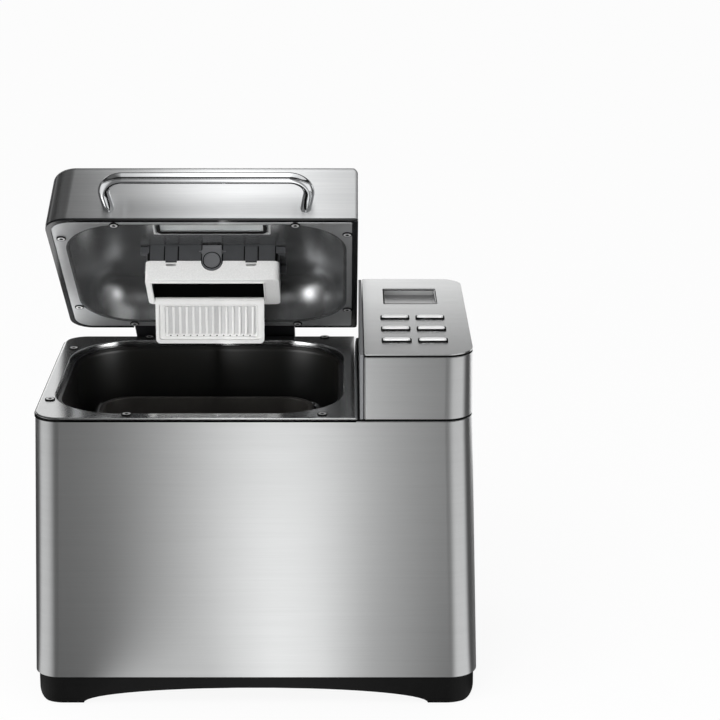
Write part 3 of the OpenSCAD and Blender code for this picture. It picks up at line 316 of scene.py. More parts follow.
corner_y = (front_y + front_r) * MM
from_left = bearing(tree, (front_r - half_w) * MM, corner_y)
from_right = bearing(tree, (half_w - pod_r) * MM, corner_y)
on_left = add(tree, "Math.LESS_THAN", floor_x, 0.0)
at_sides = side_tones(tree, *[add(tree, "Mix", i0=on_left, i2=from_right[k], i3=from_left[k]) for k in (0, 1)])
front_only = add(tree, SMOOTH, floor_y, -0.10, -0.14)
front_only = add(tree, TIMES, front_only, add(tree, SMOOTH, floor_y, -0.95, -0.15, 1.0, 0.76))
tone = add(tree, LARGER, add(tree, TIMES, fan_tone(tree, across), front_only), at_sides)
tone = add(tree, TIMES, tone, add(tree, SMOOTH, floor_y, -2.1, -1.5, 0.12, 1.0))
mirrored = add(tree, "Emission", Color=WHITE, Strength=add(tree, LARGER, tone, LEAST_TONE))
matt = add(tree, "BsdfDiffuse", Color=linear("#f4f4f4"))
bright = add(tree, "Emission", Color=WHITE, Strength=1.0)
looked_at = add(tree, LARGER, rays["Is Camera Ray"], rays["Is Transmission Ray"])
shadowed = add(tree, "MixShader", add(tree, TIMES, looked_at, FLOOR_GLOW), matt, bright)
add(tree, "OutputMaterial", add(tree, "MixShader", rays["Is Glossy Ray"], shadowed, mirrored))


# %% Cards that only mirrors see
def glow_card(name, centre, size, turn, glow):
    """A card that lights nothing and that only metal sees: glow(tree, place) is its strength at a place."""
    card, tree = flat_card(name, centre, size, turn)
    card.visible_camera = card.visible_diffuse = card.visible_transmission = card.visible_shadow = False
    strength = glow(tree, add(tree, "TexCoord").outputs["Object"])
    add(tree, "OutputMaterial", add(tree, "Emission", Color=WHITE, Strength=strength))


# %% Card behind: what the level steel on top mirrors
CARD_DIM = 0.03
CARD_TOP = 0.520


def pod_glow(tree, place):
    """Bright above the pod and dim to its left: one smooth step along x and one along z, multiplied."""
    x, y, _ = add(tree, "SeparateXYZ", place).outputs
    z = add(tree, PLUS, y, CARD_TOP / 2)
    glow = add(tree, TIMES, add(tree, SMOOTH, x, 0.08, 0.10), add(tree, SMOOTH, z, 0.42, 0.50, 1.45, 0.15))
    return add(tree, PLUS, add(tree, TIMES, glow, add(tree, SMOOTH, x, 0.10, 0.26, 1.0, 0.85)), CARD_DIM)


glow_card("card_behind", (0.0, 0.50, CARD_TOP / 2), (2.4, CARD_TOP), (90, 0, 0), pod_glow)

# %% Card close behind: what the strips of the deck round the oven mouth mirror
CLOSE_X = -0.17


def strip_glow(tree, place):
    """A bright strip between two smooth steps along x, on a dim card."""
    x = add(tree, PLUS, add(tree, "SeparateXYZ", place), CLOSE_X)
    strip = add(tree, TIMES, add(tree, SMOOTH, x, -0.199, -0.209), add(tree, SMOOTH, x, -0.33, -0.28))
    return add(tree, PLUS, strip, CARD_DIM)


glow_card("card_close", (CLOSE_X, 0.25, 0.26), (0.46, 0.52), (90, 0, 0), strip_glow)

# %% Card overhead: what the band of the open lid mirrors
OVERHEAD_HALF = 0.5
OVERHEAD_TOP = 2.0
OVERHEAD_STOPS = [(-0.25, 0.12), (-0.203, 0.20), (-0.166, 0.35), (-0.118, 0.75), (-0.093, 1.15),
                  (-0.068, 1.60), (-0.032, 1.90), (0.017, 1.65), (0.081, 1.08), (0.20, 0.80)]


def overhead_glow(tree, place):
    """Graded along x: the stops are (metres, tone)."""
    stops = [((x + OVERHEAD_HALF) / (2 * OVERHEAD_HALF), tone / OVERHEAD_TOP) for x, tone in OVERHEAD_STOPS]
    x = add(tree, "SeparateXYZ", place)
    return striped_light(tree, x, -OVERHEAD_HALF, OVERHEAD_HALF, stops, OVERHEAD_TOP)


glow_card("card_overhead", (0.0, -0.13, 0.68), (2 * OVERHEAD_HALF, 0.50), (0, 0, 0), overhead_glow)


# %% Card in the oven mouth: a small soft glow that the lid's bowl mirrors at both ends
def mouth_glow(tree, place):
    """Brightest in the middle: a smooth step down with the distance from it."""
    from_middle = add(tree, "VectorMath.LENGTH", place).outputs["Value"]
    return add(tree, SMOOTH, from_middle, 0.008, 0.058, 7.0, 0.0)


glow_card("card_in_mouth", (-0.036, 0.012, 0.262), (0.12, 0.12), (0, 90, 3.3), mouth_glow)

# %% Card beside the deck: what the left flange of the open lid mirrors
glow_card("card_beside", (-0.222, 0.03, 0.256), (0.075, 0.26), (0, 0, 0), lambda tree, place: 1.7)


# %% Lamps
def soft_lamp(name, place, target, size, watts):
    """A rectangular lamp at place that faces target. Mirrored rays don't see it."""
    data = bpy.data.lights.new(name, "AREA")
    data.shape = "RECTANGLE"
    data.size, data.size_y = size
    data.energy = watts
    lamp = bpy.data.objects.new(name, data)
    lamp.location = place
    away = np.array(place, float) - np.array(target, float)
    lamp.rotation_euler = (math.atan2(math.hypot(away[0], away[1]), away[2]), 0, math.atan2(away[0], -away[1]))
    lamp.visible_glossy = False
    bpy.context.scene.collection.objects.link(lamp)


soft_lamp("low_front", (-0.25, -1.3, 0.35), (-0.05, -0.05, 0.34), (0.6, 0.4), 12)
soft_lamp("key", (-0.9, -1.1, 1.7), (0, 0, 0.2), (1.1, 0.9), 8)
soft_lamp("low_left", (-0.205, 0.055, 0.262), (-0.165, 0.055, 0.300), (0.03, 0.10), 0.30)
print("stage: floor, five cards and", len(bpy.data.lights), "lamps")

# %% [markdown]
# ## Surfaces from arrays
#
# Almost every panel of the machine is one idea: a closed outline, such as a
# rectangle with rounded corners, repeated as a stack of rings. Rings that go
# up the outside, round a folded edge and down the inside give a sheet its
# real thickness. `build` joins such a grid of points into quads. It also
# stores a flat map called grain, in metres, so that a brushed pattern can run
# along a panel instead of through it.


# %% Outlines
CORNER_STEPS, FINE_STEPS = 14, 16


def square(middle, half):
    """The square (x0, y0, x1, y1) that reaches half each way from middle."""
    return middle[0] - half, middle[1] - half, middle[0] + half, middle[1] + half


def shrunk(box, inset):
    """A rectangle (x0, y0, x1, y1) drawn in by inset on all sides."""
    x0, y0, x1, y1 = box
    return x0 + inset, y0 + inset, x1 - inset, y1 - inset


def rounded_loop(box, radii, steps=CORNER_STEPS):
    """Points round a rectangle, counterclockwise: each corner is centre + r (cos a, sin a) over 90 degrees."""
    x0, y0, x1, y1 = box
    r = np.array(radii, float)
    centres = np.array([[x0 + r[0], y0 + r[0]], [x1 - r[1], y0 + r[1]],
                        [x1 - r[2], y1 - r[2]], [x0 + r[3], y1 - r[3]]])
    angle = np.radians(np.array([180, 270, 0, 90])[:, None] + np.linspace(0, 90, steps + 1))
    arc = np.stack([np.cos(angle), np.sin(angle)], -1)
    return (centres[:, None] + r[:, None, None] * arc).reshape(-1, 2)


def raised(loop, z):
    """A flat outline lifted to height z."""
    return np.concatenate([loop, np.full((len(loop), 1), float(z))], 1)


def inset_ring(box, radii, z, inset, steps=CORNER_STEPS, least=0.0):
    """A rounded rectangle at height z, drawn in by inset on all sides: its corners shrink as much, to least."""
    corner_r = np.maximum(np.array(radii, float) - inset, least)
    return raised(rounded_loop(shrunk(box, inset), corner_r, steps), z)


def quarter(steps):
    """(1 - cos a, sin a) for a from 0 to 90 degrees: how a rolled edge leaves one face and meets the next."""
    a = np.radians(np.linspace(0, 90, steps + 1))
    return np.stack([1 - np.cos(a), np.sin(a)], 1)


# %% From a grid of points to a mesh
def signed_volume(flat, faces):
    """Sum of the signed tetrahedra between the faces and the middle: positive if the faces point outwards."""
    p = flat - flat.mean(0)
    return sum(np.einsum("ij,ij->i", p[f[:, 0]], np.cross(p[f[:, k]], p[f[:, k + 1]])).sum()
               for f in faces for k in range(1, f.shape[1] - 1))


BUILT_CREASE, CAD_CREASE = math.radians(32), math.radians(28)


def as_piece(name, mesh, crease):
    """Object with smooth shading that breaks only at edges sharper than crease."""
    mesh.polygons.foreach_set("use_smooth", np.ones(len(mesh.polygons), bool))
    mesh.set_sharp_from_angle(angle=crease)
    mesh.update()
    piece = bpy.data.objects.new(name, mesh)
    bpy.context.scene.collection.objects.link(piece)
    return piece


def even_shading(piece):
    """Last step: large faces decide the shading of the edges beside them, so flats look flat."""
    piece.modifiers.new("even_shading", "WEIGHTED_NORMAL").keep_sharp = True
    return piece


def build(name, points, place=np.asarray, along=False, caps=False):
    """Mesh over points[row, column] in millimetres. Its last column joins the first, and so does its last row
    if along is set. Each quad is (row, column), (row, next), (next, next), (next, column)."""
    rows, cols = points.shape[:2]
    r0, c0 = np.meshgrid(np.arange(rows if along else rows - 1), np.arange(cols), indexing="ij")
    corner_r = np.stack([r0, r0, r0 + 1, r0 + 1], -1).reshape(-1, 4)
    corner_c = np.stack([c0, c0 + 1, c0 + 1, c0], -1).reshape(-1, 4)
    quads = (corner_r % rows) * cols + corner_c % cols
    flat = points.reshape(-1, 3)
    faces = [quads]
    if caps:
        ends = np.array([np.arange(cols)[::-1], (rows - 1) * cols + np.arange(cols)])
        faces.append(ends)
    closed = np.concatenate([points, points[:, :1]], 1)
    closed = np.concatenate([closed, closed[:1]], 0)
    run = np.linalg.norm(np.diff(closed, axis=1), axis=2)
    climb = np.linalg.norm(np.diff(closed, axis=0), axis=2)
    u = np.concatenate([[0], np.cumsum(run.max(0))])
    v = np.concatenate([[0], np.cumsum(np.median(climb, 1))])
    wrapped = np.stack([u[corner_c], v[corner_r]], -1)
    plan = flat[quads][..., :2]
    normal = np.cross(flat[quads[:, 2]] - flat[quads[:, 0]], flat[quads[:, 3]] - flat[quads[:, 1]])
    level = np.abs(normal[:, 2]) > 0.8 * np.linalg.norm(normal, axis=1)
    grain = [np.where(level[:, None, None], plan, wrapped)]
    if caps:
        grain.append(flat[ends][..., :2])
    placed = place(flat)
    if signed_volume(placed, faces) < 0:
        faces = [f[:, ::-1] for f in faces]
        grain = [g[:, ::-1] for g in grain]
    mesh = bpy.data.meshes.new(name)
    mesh.from_pydata((placed * MM).tolist(), [], [list(f) for part in faces for f in part.tolist()])
    layer = mesh.uv_layers.new(name="grain")
    layer.data.foreach_set("uv", (np.concatenate([g.reshape(-1, 2) for g in grain]) * MM).ravel())
    return even_shading(as_piece(name, mesh, BUILT_CREASE))


def tube(name, path, across, radius, sides, place=np.asarray):
    """Round bar along a path in a plane: each section is p + r (cos a n + sin a b), with n = b x t."""
    b = np.array(across, float) / np.linalg.norm(across)
    ahead = np.roll(path, -1, 0) - np.roll(path, 1, 0)
    ahead[0], ahead[-1] = path[1] - path[0], path[-1] - path[-2]
    t = ahead / np.linalg.norm(ahead, axis=1, keepdims=True)
    n = np.cross(b, t)
    a = np.linspace(0, 2 * np.pi, sides, endpoint=False)[None, :, None]
    rings = path[:, None] + radius * (np.cos(a) * n[:, None] + np.sin(a) * b)
    return build(name, rings, place, caps=True)


# %% Small relief: pads and ridges drawn on a face
def on_top(z):
    """Places a relief on a level face at height z: its height runs up."""
    return lambda p: p + np.array([0.0, 0.0, z])


def on_underside(z, place):
    """Places a relief under a level face of the closed lid: its height runs down."""
    return lambda p: place(np.stack([p[..., 0], p[..., 1], z - p[..., 2]], -1))


def on_front(y, place):
    """Places a relief on an upright face of the closed lid that looks to the front: its height runs forward."""
    return lambda p: place(np.stack([p[..., 0], y - p[..., 2], p[..., 1]], -1))


def relief_loop(box, r, inset, h):
    """A small rounded rectangle of corner r, drawn in by inset and lifted to height h."""
    return inset_ring(box, [r] * 4, h, inset, 6, least=0.05)


def rolled_up(box, r, height, ease, sink):
    """Rings from sink under the face up a rounded rectangle's side and round its rolled edge."""
    edge = [relief_loop(box, r, ease * c, height - ease * (1 - s)) for c, s in quarter(3)]
    return [relief_loop(box, r, 0.0, -sink)] + edge


def pad(name, box, r, height, ease, place, sink=0.3):
    """A low pad with a rolled edge over a rounded rectangle."""
    rings = rolled_up(box, r, height, ease, sink)
    return build(name, np.array(rings), place, caps=True)


def ridge(name, box, r, wide, height, place, sink=0.3):
    """A low ridge that runs round a rounded rectangle, with both its edges rolled."""
    ease = min(wide, height) / 2.2
    rings = rolled_up(box, r, height, ease, sink)
    rings += [relief_loop(box, r, wide - ease * c, height - ease * (1 - s)) for c, s in quarter(3)[::-1]]
    rings += [relief_loop(box, r, wide, -sink)]
    return build(name, np.array(rings), place, along=True)


def repeated(piece, shifts):
    """Adds copies of a piece's mesh to itself, each moved along X by a shift in millimetres."""
    work = bmesh.new()
    work.from_mesh(piece.data)
    first = work.verts[:] + work.edges[:] + work.faces[:]
    for shift in shifts:
        made = bmesh.ops.duplicate(work, geom=first)["geom"]
        verts = [part for part in made if isinstance(part, bmesh.types.BMVert)]
        bmesh.ops.translate(work, verts=verts, vec=(shift * MM, 0.0, 0.0))
    work.to_mesh(piece.data)
    work.free()
    return piece


def another_finish(piece, material, chosen):
    """Gives one more finish to the faces that chosen(face) picks."""
    piece.data.materials.append(material)
    for face in piece.data.polygons:
        if chosen(face):
            face.material_index = len(piece.data.materials) - 1
    return piece


# %% Edges eased on a copy of a CAD solid
MERGE, FLAT, BEVELLED = 2e-6, math.radians(0.6), math.radians(30)


def eased(node, width, steps):
    """Copy of a CAD solid: its triangles merge into faces and its edges are rounded by width millimetres."""
    mesh = frame["nodes"][node].data.copy()
    mesh.materials.clear()
    work = bmesh.new()
    work.from_mesh(mesh)
    bmesh.ops.remove_doubles(work, verts=work.verts, dist=MERGE)
    bmesh.ops.dissolve_limit(work, angle_limit=FLAT, verts=work.verts, edges=work.edges)
    work.to_mesh(mesh)
    work.free()
    piece = as_piece(node + "_eased", mesh, CAD_CREASE)
    bevel = piece.modifiers.new("eased_edges", "BEVEL")
    bevel.width = width * MM
    bevel.segments = steps
    bevel.limit_method = "ANGLE"
    bevel.angle_limit = BEVELLED
    bevel.use_clamp_overlap = True
    return even_shading(piece)


def settle(piece, body, material, slot, *nodes):
    """Gives a piece its finish, lets it ride on its body and hides the CAD nodes it stands for."""
    piece.data.materials.append(material)
    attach(piece, body)
    if nodes:
        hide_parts(*nodes)
    return piece


def reused(node, width, steps, body, material, slot):
    """A CAD solid with eased edges in its finish: it stands for its own node."""
    return settle(eased(node, width, steps), body, material, slot, node)


# %% [markdown]
# ## Finishes
#
# Each finish starts from what the real material is and how its surface was
# made. Stainless sheet is brushed in one direction, so its scratches are long
# and thin and its reflections smear across them. Moulded plastic has a fine
# spark texture. Chrome is a mirror. All of them are procedural, and the sizes
# of their patterns are in millimetres.


# %% Two tones
def two_tones(tree, factor, dark, light):
    """Colour between two hex tones: dark where factor is 0, light where it is 1."""
    return add(tree, "Mix.RGBA", i0=factor, i6=linear(dark), i7=linear(light)).outputs[2]


# %% Brushed stainless sheet: a soft grey mirror that smears what it shows across the brushing
STREAK_LONG, STREAK_WIDE = 70, 0.5
BROAD_SHARE = 0.35
STREAK = 0.25


def brushed_stainless(name, dark, light, span, depth, rough=0.31):
    """Long fine scratches along the grain: noise squeezed across the sheet sets tone, roughness and bump."""
    material, tree = empty_material(name)
    grain = add(tree, "UVMap", settings={"uv_map": "grain"})
    per_long, per_wide = 1 / (STREAK_LONG * MM), 1 / (STREAK_WIDE * MM)
    fine = add(tree, "Mapping", Vector=grain, Scale=(per_long, per_wide, 1.0))
    fine = add(tree, "TexNoise", Vector=fine, Scale=1.0, Detail=3.0, Roughness=0.65)
    broad = add(tree, "Mapping", Vector=grain, Scale=(0.4 * per_long, 0.18 * per_wide, 1.0))
    broad = add(tree, "TexNoise", Vector=broad, Scale=1.0, Detail=2.0)
    both = add(tree, PLUS, add(tree, TIMES, fine, 1.0 - BROAD_SHARE), add(tree, TIMES, broad, BROAD_SHARE))
    tone = add(tree, SMOOTH, both, 0.5 - STREAK, 0.5 + STREAK)
    scratches = add(tree, "Bump", Strength=depth, Distance=0.02 * MM, Height=fine)
    tangent = add(tree, "Tangent", settings={"direction_type": "UV_MAP", "uv_map": "grain"})
    shader = add(tree, "BsdfPrincipled", Base_Color=two_tones(tree, tone, dark, light), Metallic=1.0,
                 Roughness=add(tree, SMOOTH, both, 0.3, 0.7, rough + span, rough - span),
                 Anisotropic=0.85, Anisotropic_Rotation=0.25, Normal=scratches, Tangent=tangent)
    add(tree, "OutputMaterial", shader)
    return material


panel_steel = brushed_stainless("brushed_panel_steel", "#cdcece", "#d3d4d4", 0.015, 0.015)
lid_steel = brushed_stainless("brushed_lid_steel", "#cacbcc", "#d5d6d6", 0.025, 0.025)
top_steel = brushed_stainless("brushed_top_steel", "#c8c9c9", "#d0d1d1", 0.015, 0.01, rough=0.19)
print("brushed steel: streaks of", STREAK_LONG, "x", STREAK_WIDE, "mm")


# %% Surfaces with broad patches and fine grit
def mottled(name, dark, light, patch, detail, grit, bump, **sockets):
    """Noise patch millimetres wide drifts between two tones, and noise grit millimetres wide is the bump."""
    material, tree = empty_material(name)
    place = add(tree, "TexCoord").outputs["Object"]
    cloud = add(tree, "TexNoise", Vector=place, Scale=1 / (patch * MM), Detail=detail)
    fine = add(tree, "TexNoise", Vector=place, Scale=1 / (grit * MM), Detail=1.0)
    fine = add(tree, "Bump", Strength=bump, Distance=0.1 * MM, Height=fine)
    shader = add(tree, "BsdfPrincipled", Base_Color=two_tones(tree, cloud, dark, light), Normal=fine, **sockets)
    add(tree, "OutputMaterial", shader)
    return material


# %% Metals that are cast, plated, coated or polished
def metal(name, dark, light, rough, metallic=1.0, patch=6.0, bump=0.06, grit=0.5):
    """Cast, plated, coated or polished metal."""
    return mottled(name, dark, light, patch, 3.0, grit, bump, Metallic=metallic, Roughness=rough)


# chrome plate is a mirror, and nickel and zinc are duller ones
chrome = metal("polished_chrome", "#e2e4e6", "#f2f3f4", 0.05, bump=0.0)
plated = metal("zinc_plated_steel", "#a5a7a8", "#c3c4c5", 0.32)
screw_steel = metal("nickel_plated_screw", "#c6c6c6", "#d6d6d6", 0.3, metallic=0.55, bump=0.0)
# pressed aluminium with a clear coat shows broad soft highlights; the liner is one pressing in two copies of
# this alloy, its flange lighter and more matt as painted light, its bowl darker as painted shade
liner_metal = metal("grey_liner_alloy", "#9b9c9d", "#a6a7a8", 0.27, metallic=0.91, bump=0.01)
flange_alloy_painted_light = metal("satin_liner_flange_painted_light", "#b4b5b6", "#c0c1c2", 0.30, metallic=0.78, bump=0.02)
# a casting keeps the grain of its die, and stamped iron sheets are dull
cast_alloy = metal("die_cast_alloy", "#a3a5a7", "#bbbdbf", 0.42, bump=0.2)
iron = metal("laminated_iron", "#5d5e60", "#717274", 0.5)
# baked coatings are nearly black: smooth in the oven, pebbled in the pan, and brown where the heater has aged
oven_enamel = metal("dark_oven_coating", "#0d1011", "#191714", 0.34, metallic=0.2, patch=40, bump=0.03)
pan_coating = metal("non_stick_coating", "#2f2d2b", "#3b3936", 0.42, metallic=0.3, bump=0.25, grit=0.8)
heater_sheath = metal("oxidised_heater_sheath", "#3d3530", "#5a4d44", 0.5, metallic=0.7, bump=0.1)
# silver paint over bead blasting glitters a little, and over a smooth moulding it is satin
blasted = metal("bead_blasted_silver", "#dededd", "#fafaf9", 0.42, metallic=0.1, patch=1.1, bump=0.4, grit=0.8)
# a darker copy of the flap's silver for the ground between its ribs: painted shade
flap_ground_painted_shade = metal("flap_ground_silver", "#b9b9b9", "#c3c3c3", 0.45, metallic=0.1, patch=5, bump=0.05)
flap_silver = metal("satin_flap_silver", "#d9d9d8", "#e3e3e2", 0.40, metallic=0.05, patch=5, grit=0.6)
button_silver = metal("silver_button_plate", "#f0f0f0", "#f8f8f8", 0.4, metallic=0.1, bump=0.02)


# %% Moulded plastics and rubber
def moulded(name, dark, light, rough, bump=0.15, coat=0.0, shine=0.5):
    """Injection moulded plastic: nearly one colour, with the fine spark texture of its mould."""
    return mottled(name, dark, light, 9, 2.0, 0.5, bump, Roughness=rough, IOR=1.5, Coat_Weight=coat,
                   Coat_Roughness=0.1, Specular_IOR_Level=shine)


# ABS keeps the texture of its mould, so black ABS is deep and matt unless the mould was polished
tray_plastic = moulded("black_tray_abs", "#0b0b0b", "#0f0f0f", 0.5, shine=0.1)
black_plastic = moulded("black_abs", "#121214", "#1a1a1c", 0.42)
glossy_black = moulded("glossy_black_abs", "#0b0b0c", "#101011", 0.16, bump=0.02)
grey_plastic = moulded("grey_abs", "#5d5e60", "#67686a", 0.42)
bezel_silver = moulded("satin_silver_abs", "#aeafaf", "#bababa", 0.3, bump=0.05)
# nylon has a waxy shine
housing_plastic = moulded("dark_grey_nylon", "#414244", "#4b4c4e", 0.28)
latch_plastic = moulded("latch_grey_nylon", "#606163", "#6b6c6e", 0.28)
# the enamelled rim of the oven has a thin glossy edge, and a gasket swallows light; the same matt black is also
# painted shade in seams, gaps, grooves, holes and recesses
enamel_lip = moulded("enamelled_lip", "#0b0b0c", "#101011", 0.2, bump=0.02, shine=0.22)
shade_and_gasket_black = moulded("matt_black_gasket_and_painted_shade", "#050505", "#080808", 0.6, shine=0.1)
# rubber is dull and slightly grey
foot_rubber = moulded("foot_rubber", "#0f0f10", "#171717", 0.75, bump=0.3)
belt_rubber = moulded("belt_rubber", "#101010", "#171717", 0.7, bump=0.3)
# lacquer over green boards and amber tape shines softly
board_green = moulded("green_solder_mask", "#1d4a2c", "#26573a", 0.4)
coil_tape = moulded("coil_tape", "#8a6333", "#a3793f", 0.5)
# a tinted clear window is smooth, over a dark display
display_glass = moulded("display_window", "#515253", "#59595a", 0.3, bump=0.0, coat=0.2)
display_dark = moulded("display_module", "#23282a", "#2b3032", 0.4)


# %% Glass: coated against glare, so it mirrors little even at a low angle
def clear_glass(name):
    """Toughened glass: smooth and clear, with the faintest drift of tint. The coating lowers its IOR."""
    material, tree = empty_material(name)
    cloud = add(tree, "TexNoise", Vector=add(tree, "TexCoord").outputs["Object"], Scale=1 / (30 * MM))
    tint = two_tones(tree, cloud, "#f4f7f6", "#ffffff")
    shader = add(tree, "BsdfPrincipled", Base_Color=tint, Roughness=0.0, IOR=1.05, Transmission_Weight=1.0)
    add(tree, "OutputMaterial", shader)
    return material


window_glass = clear_glass("toughened_glass")
print("finishes:", len(bpy.data.materials))

# %% [markdown]
# ## The body
#
# The body is a wrap of thin stainless sheet that stands on a black tray and
# stops under a thin steel deck. The deck dips into the oven mouth, where the
# coated oven wall comes up inside it as a dark lip.

# %% Wrapped shell
SHEET = 1.0
REAR_OPEN = high("rear_panel")[0] + 0.3
EDGE_ROLL, EDGE_IN = 0.8, 0.35
spread = high("outer_shell")[0] - half_w


def shell_path(outset, inset):
    """Plan of the wrap from the back opening round the front: an open line of points."""
    box = shrunk((-half_w - outset, front_y, half_w + outset, back_y), inset)
    loop = rounded_loop(box, np.array([front_r, pod_r, back_r, back_r]) - inset)
    last = 3 * (CORNER_STEPS + 1)    # where the points of the last corner start
    return np.concatenate([[[-REAR_OPEN, box[3]]], loop[last:], loop[:last], [[REAR_OPEN, box[3]]]])


def shell_ring(z, inset):
    """One turn of the sheet's section in plan, out along the outside and back along the inside."""
    share = (shell_top_z - z) / (shell_top_z - shell_low_z)
    outer = shell_path(spread * share, inset)
    inner = shell_path(spread * share, inset + SHEET)[::-1]
    return np.concatenate([raised(outer, z), raised(inner, z)])


SHELL_EDGE = shell_top_z - 0.4
levels = np.linspace(shell_low_z, SHELL_EDGE - EDGE_ROLL, 8)
rolled = [(SHELL_EDGE - EDGE_ROLL * (1 - s), EDGE_IN * c) for c, s in quarter(3)[1:]]
shell_rings = [shell_ring(z, 0.0) for z in levels] + [shell_ring(z, c) for z, c in rolled]
shell = build("wrapped_shell", np.array(shell_rings), caps=True)
settle(shell, "body", panel_steel, "stainless", "outer_shell")
print("shell:", len(shell.data.polygons), "faces")

# %% Tray, rear panel and what shows at the back
reused("base_tray", 0.8, 2, "body", tray_plastic, "black_plastic")
reused("rear_panel", 0.5, 2, "body", black_plastic, "black_plastic")
reused("mains_inlet", 0.5, 2, "body", black_plastic, "black_plastic")
reused("hinge_bracket", 0.3, 2, "body", plated, "plated_sheet")

# %% Deck: a thin plate whose mouth rolls down into the oven
MOUTH_R, MOUTH_LEFT, MOUTH_RIGHT, MOUTH_END = 58.0, -168.0, 73.5, 14.0
DECK_ROLL, MOUTH_ROLL = 2.2, 1.6
mouth = np.array([MOUTH_LEFT, front_y + MOUTH_END, MOUTH_RIGHT, back_y - MOUTH_END])
plate_z = low("pod_housing")[2] - 0.1
collar_z = low("top_deck")[2]
deck_radii = np.array([front_r, 2, 2, back_r])


def deck_ring(z, inset):
    """The deck's outline at height z, drawn in by inset."""
    return inset_ring((-half_w, front_y, deck_right, back_y), deck_radii, z, inset, FINE_STEPS, least=1.0)


def mouth_ring(z, grow):
    """The oven mouth's outline at height z, grown outwards."""
    return inset_ring(mouth, [MOUTH_R] * 4, z, -grow, FINE_STEPS)


edge = quarter(4)
rings = [deck_ring(plate_z, 0.0)]
rings += [deck_ring(plate_z + (deck_z - plate_z) * (0.3 + 0.7 * s), DECK_ROLL * c) for c, s in edge]
rings += [mouth_ring(deck_z - MOUTH_ROLL * c, MOUTH_ROLL * (1 - s)) for c, s in edge]
rings += [mouth_ring(collar_z, 0.0), mouth_ring(collar_z, 1.0), mouth_ring(plate_z, 2.4)]
deck = build("top_deck_plate", np.array(rings), along=True)
settle(deck, "body", top_steel, "stainless", "top_deck")
print("deck:", len(deck.data.polygons), "faces")

# %% Painted shade: a black band under the deck's left edge, for the shadow in its seam
LINE_IN, LINE_OUT = -1.5, 0.7
line_low, line_high = collar_z + 0.3, deck_z - 1.4


def deck_shade_line(z, out):
    """The deck's outline at height z, with its left side moved out."""
    return raised(rounded_loop((-half_w - out, front_y, deck_right, back_y), deck_radii, FINE_STEPS), z)


section = ((line_low, LINE_IN), (line_low, LINE_OUT), (line_high, LINE_OUT), (line_high, LINE_IN))
line = build("deck_shade_line", np.array([deck_shade_line(z, out) for z, out in section]), along=True)
settle(line, "body", shade_and_gasket_black, "black_plastic")

# %% [markdown]
# ## The oven and its pan
#
# The oven is pressed from one sheet. Its rim stands inside the mouth as a dark
# lip, which hides the rough edge. The pan is a second pressing with a wired
# rim, and the bail that lifts it is a bent rod. All are stacks of rings again,
# because each is a rounded box whose corners change with its height.

# %% Oven: a pressed chamber whose rim stands inside the mouth as a dark lip, and the frame round it
LIP = 4.0
OVEN_FLOOR, FLOOR_R, DISC_R = 62.0, 10.0, 20.0
LIP_ROLL, LIP_TOP = 2.0, 1.2
oven_x, oven_y = (mouth[0] + mouth[2]) / 2, (mouth[1] + mouth[3]) / 2


def disc_ring(r, z):
    """A circle of radius r in the middle of the oven, whose points match those of the mouth's outline."""
    return raised(rounded_loop(square((oven_x, oven_y), r), [0.97 * r] * 4, FINE_STEPS), z)


rim_top = high("oven_chamber")[2]
rings = [mouth_ring(rim_top - SHEET, LIP_TOP), mouth_ring(rim_top, LIP_TOP)]
rings += [mouth_ring(rim_top - LIP_ROLL * (1 - s), -LIP + LIP_ROLL * (1 - c)) for c, s in edge[::-1]]
rings += [mouth_ring(z, -LIP) for z in np.linspace(rim_top - 6, OVEN_FLOOR + FLOOR_R, 6)]
rings += [mouth_ring(OVEN_FLOOR + FLOOR_R * (1 - s), -LIP - FLOOR_R * c) for c, s in quarter(6)[1:]]
rings += [disc_ring(DISC_R, z) for z in (OVEN_FLOOR, OVEN_FLOOR - SHEET)]
outer_r = FLOOR_R + SHEET
rings += [mouth_ring(OVEN_FLOOR + FLOOR_R - outer_r * s, -LIP - FLOOR_R + outer_r * (1 - c))
          for c, s in quarter(6)[::-1]]
rings += [mouth_ring(rim_top - SHEET, -LIP + SHEET)]
chamber = build("oven_liner", np.array(rings), along=True)
settle(chamber, "body", oven_enamel, "oven_coating", "oven_chamber")
turn = len(mouth_ring(0.0, 0.0))    # faces in one turn of rings
another_finish(chamber, enamel_lip, lambda face: face.index < 3 * turn)
# Two rows of the lip's inward roll in bright plated steel: a painted highlight line round the mouth.
another_finish(chamber, plated, lambda face: 4 * turn <= face.index < 6 * turn)
reused("upper_frame", 0.5, 2, "body", shade_and_gasket_black, "black_plastic")
print("oven:", len(chamber.data.polygons), "faces")

# %% Pan: tapered wall, rolled rim, rounded floor
PAN_R, PAN_TAPER, PAN_WALL, PAN_RIM = 26.0, 4.0, 1.6, 3.0
PAN_SIDE, PAN_END, PAN_FLOOR_R, PAN_HOLE = 24.75, 39.0, 6.0, 9.1
RIM_WIRE = 1.3
pan_half = np.array([mouth[2] - mouth[0], mouth[3] - mouth[1]]) / 2 - LIP - [PAN_SIDE, PAN_END]
pan_low, pan_high = low("bread_pan")[2], high("bread_pan")[2]


def pan_ring(z, inset):
    """The pan's outline at height z, drawn in from its rim by inset."""
    middle = np.array([oven_x, oven_y])
    return inset_ring([*(middle - pan_half), *(middle + pan_half)], [PAN_R] * 4, z, inset, FINE_STEPS)


def pan_wall(z):
    """How far the tapered wall stands in from the rim at height z."""
    return PAN_TAPER * (pan_high - z) / (pan_high - pan_low)


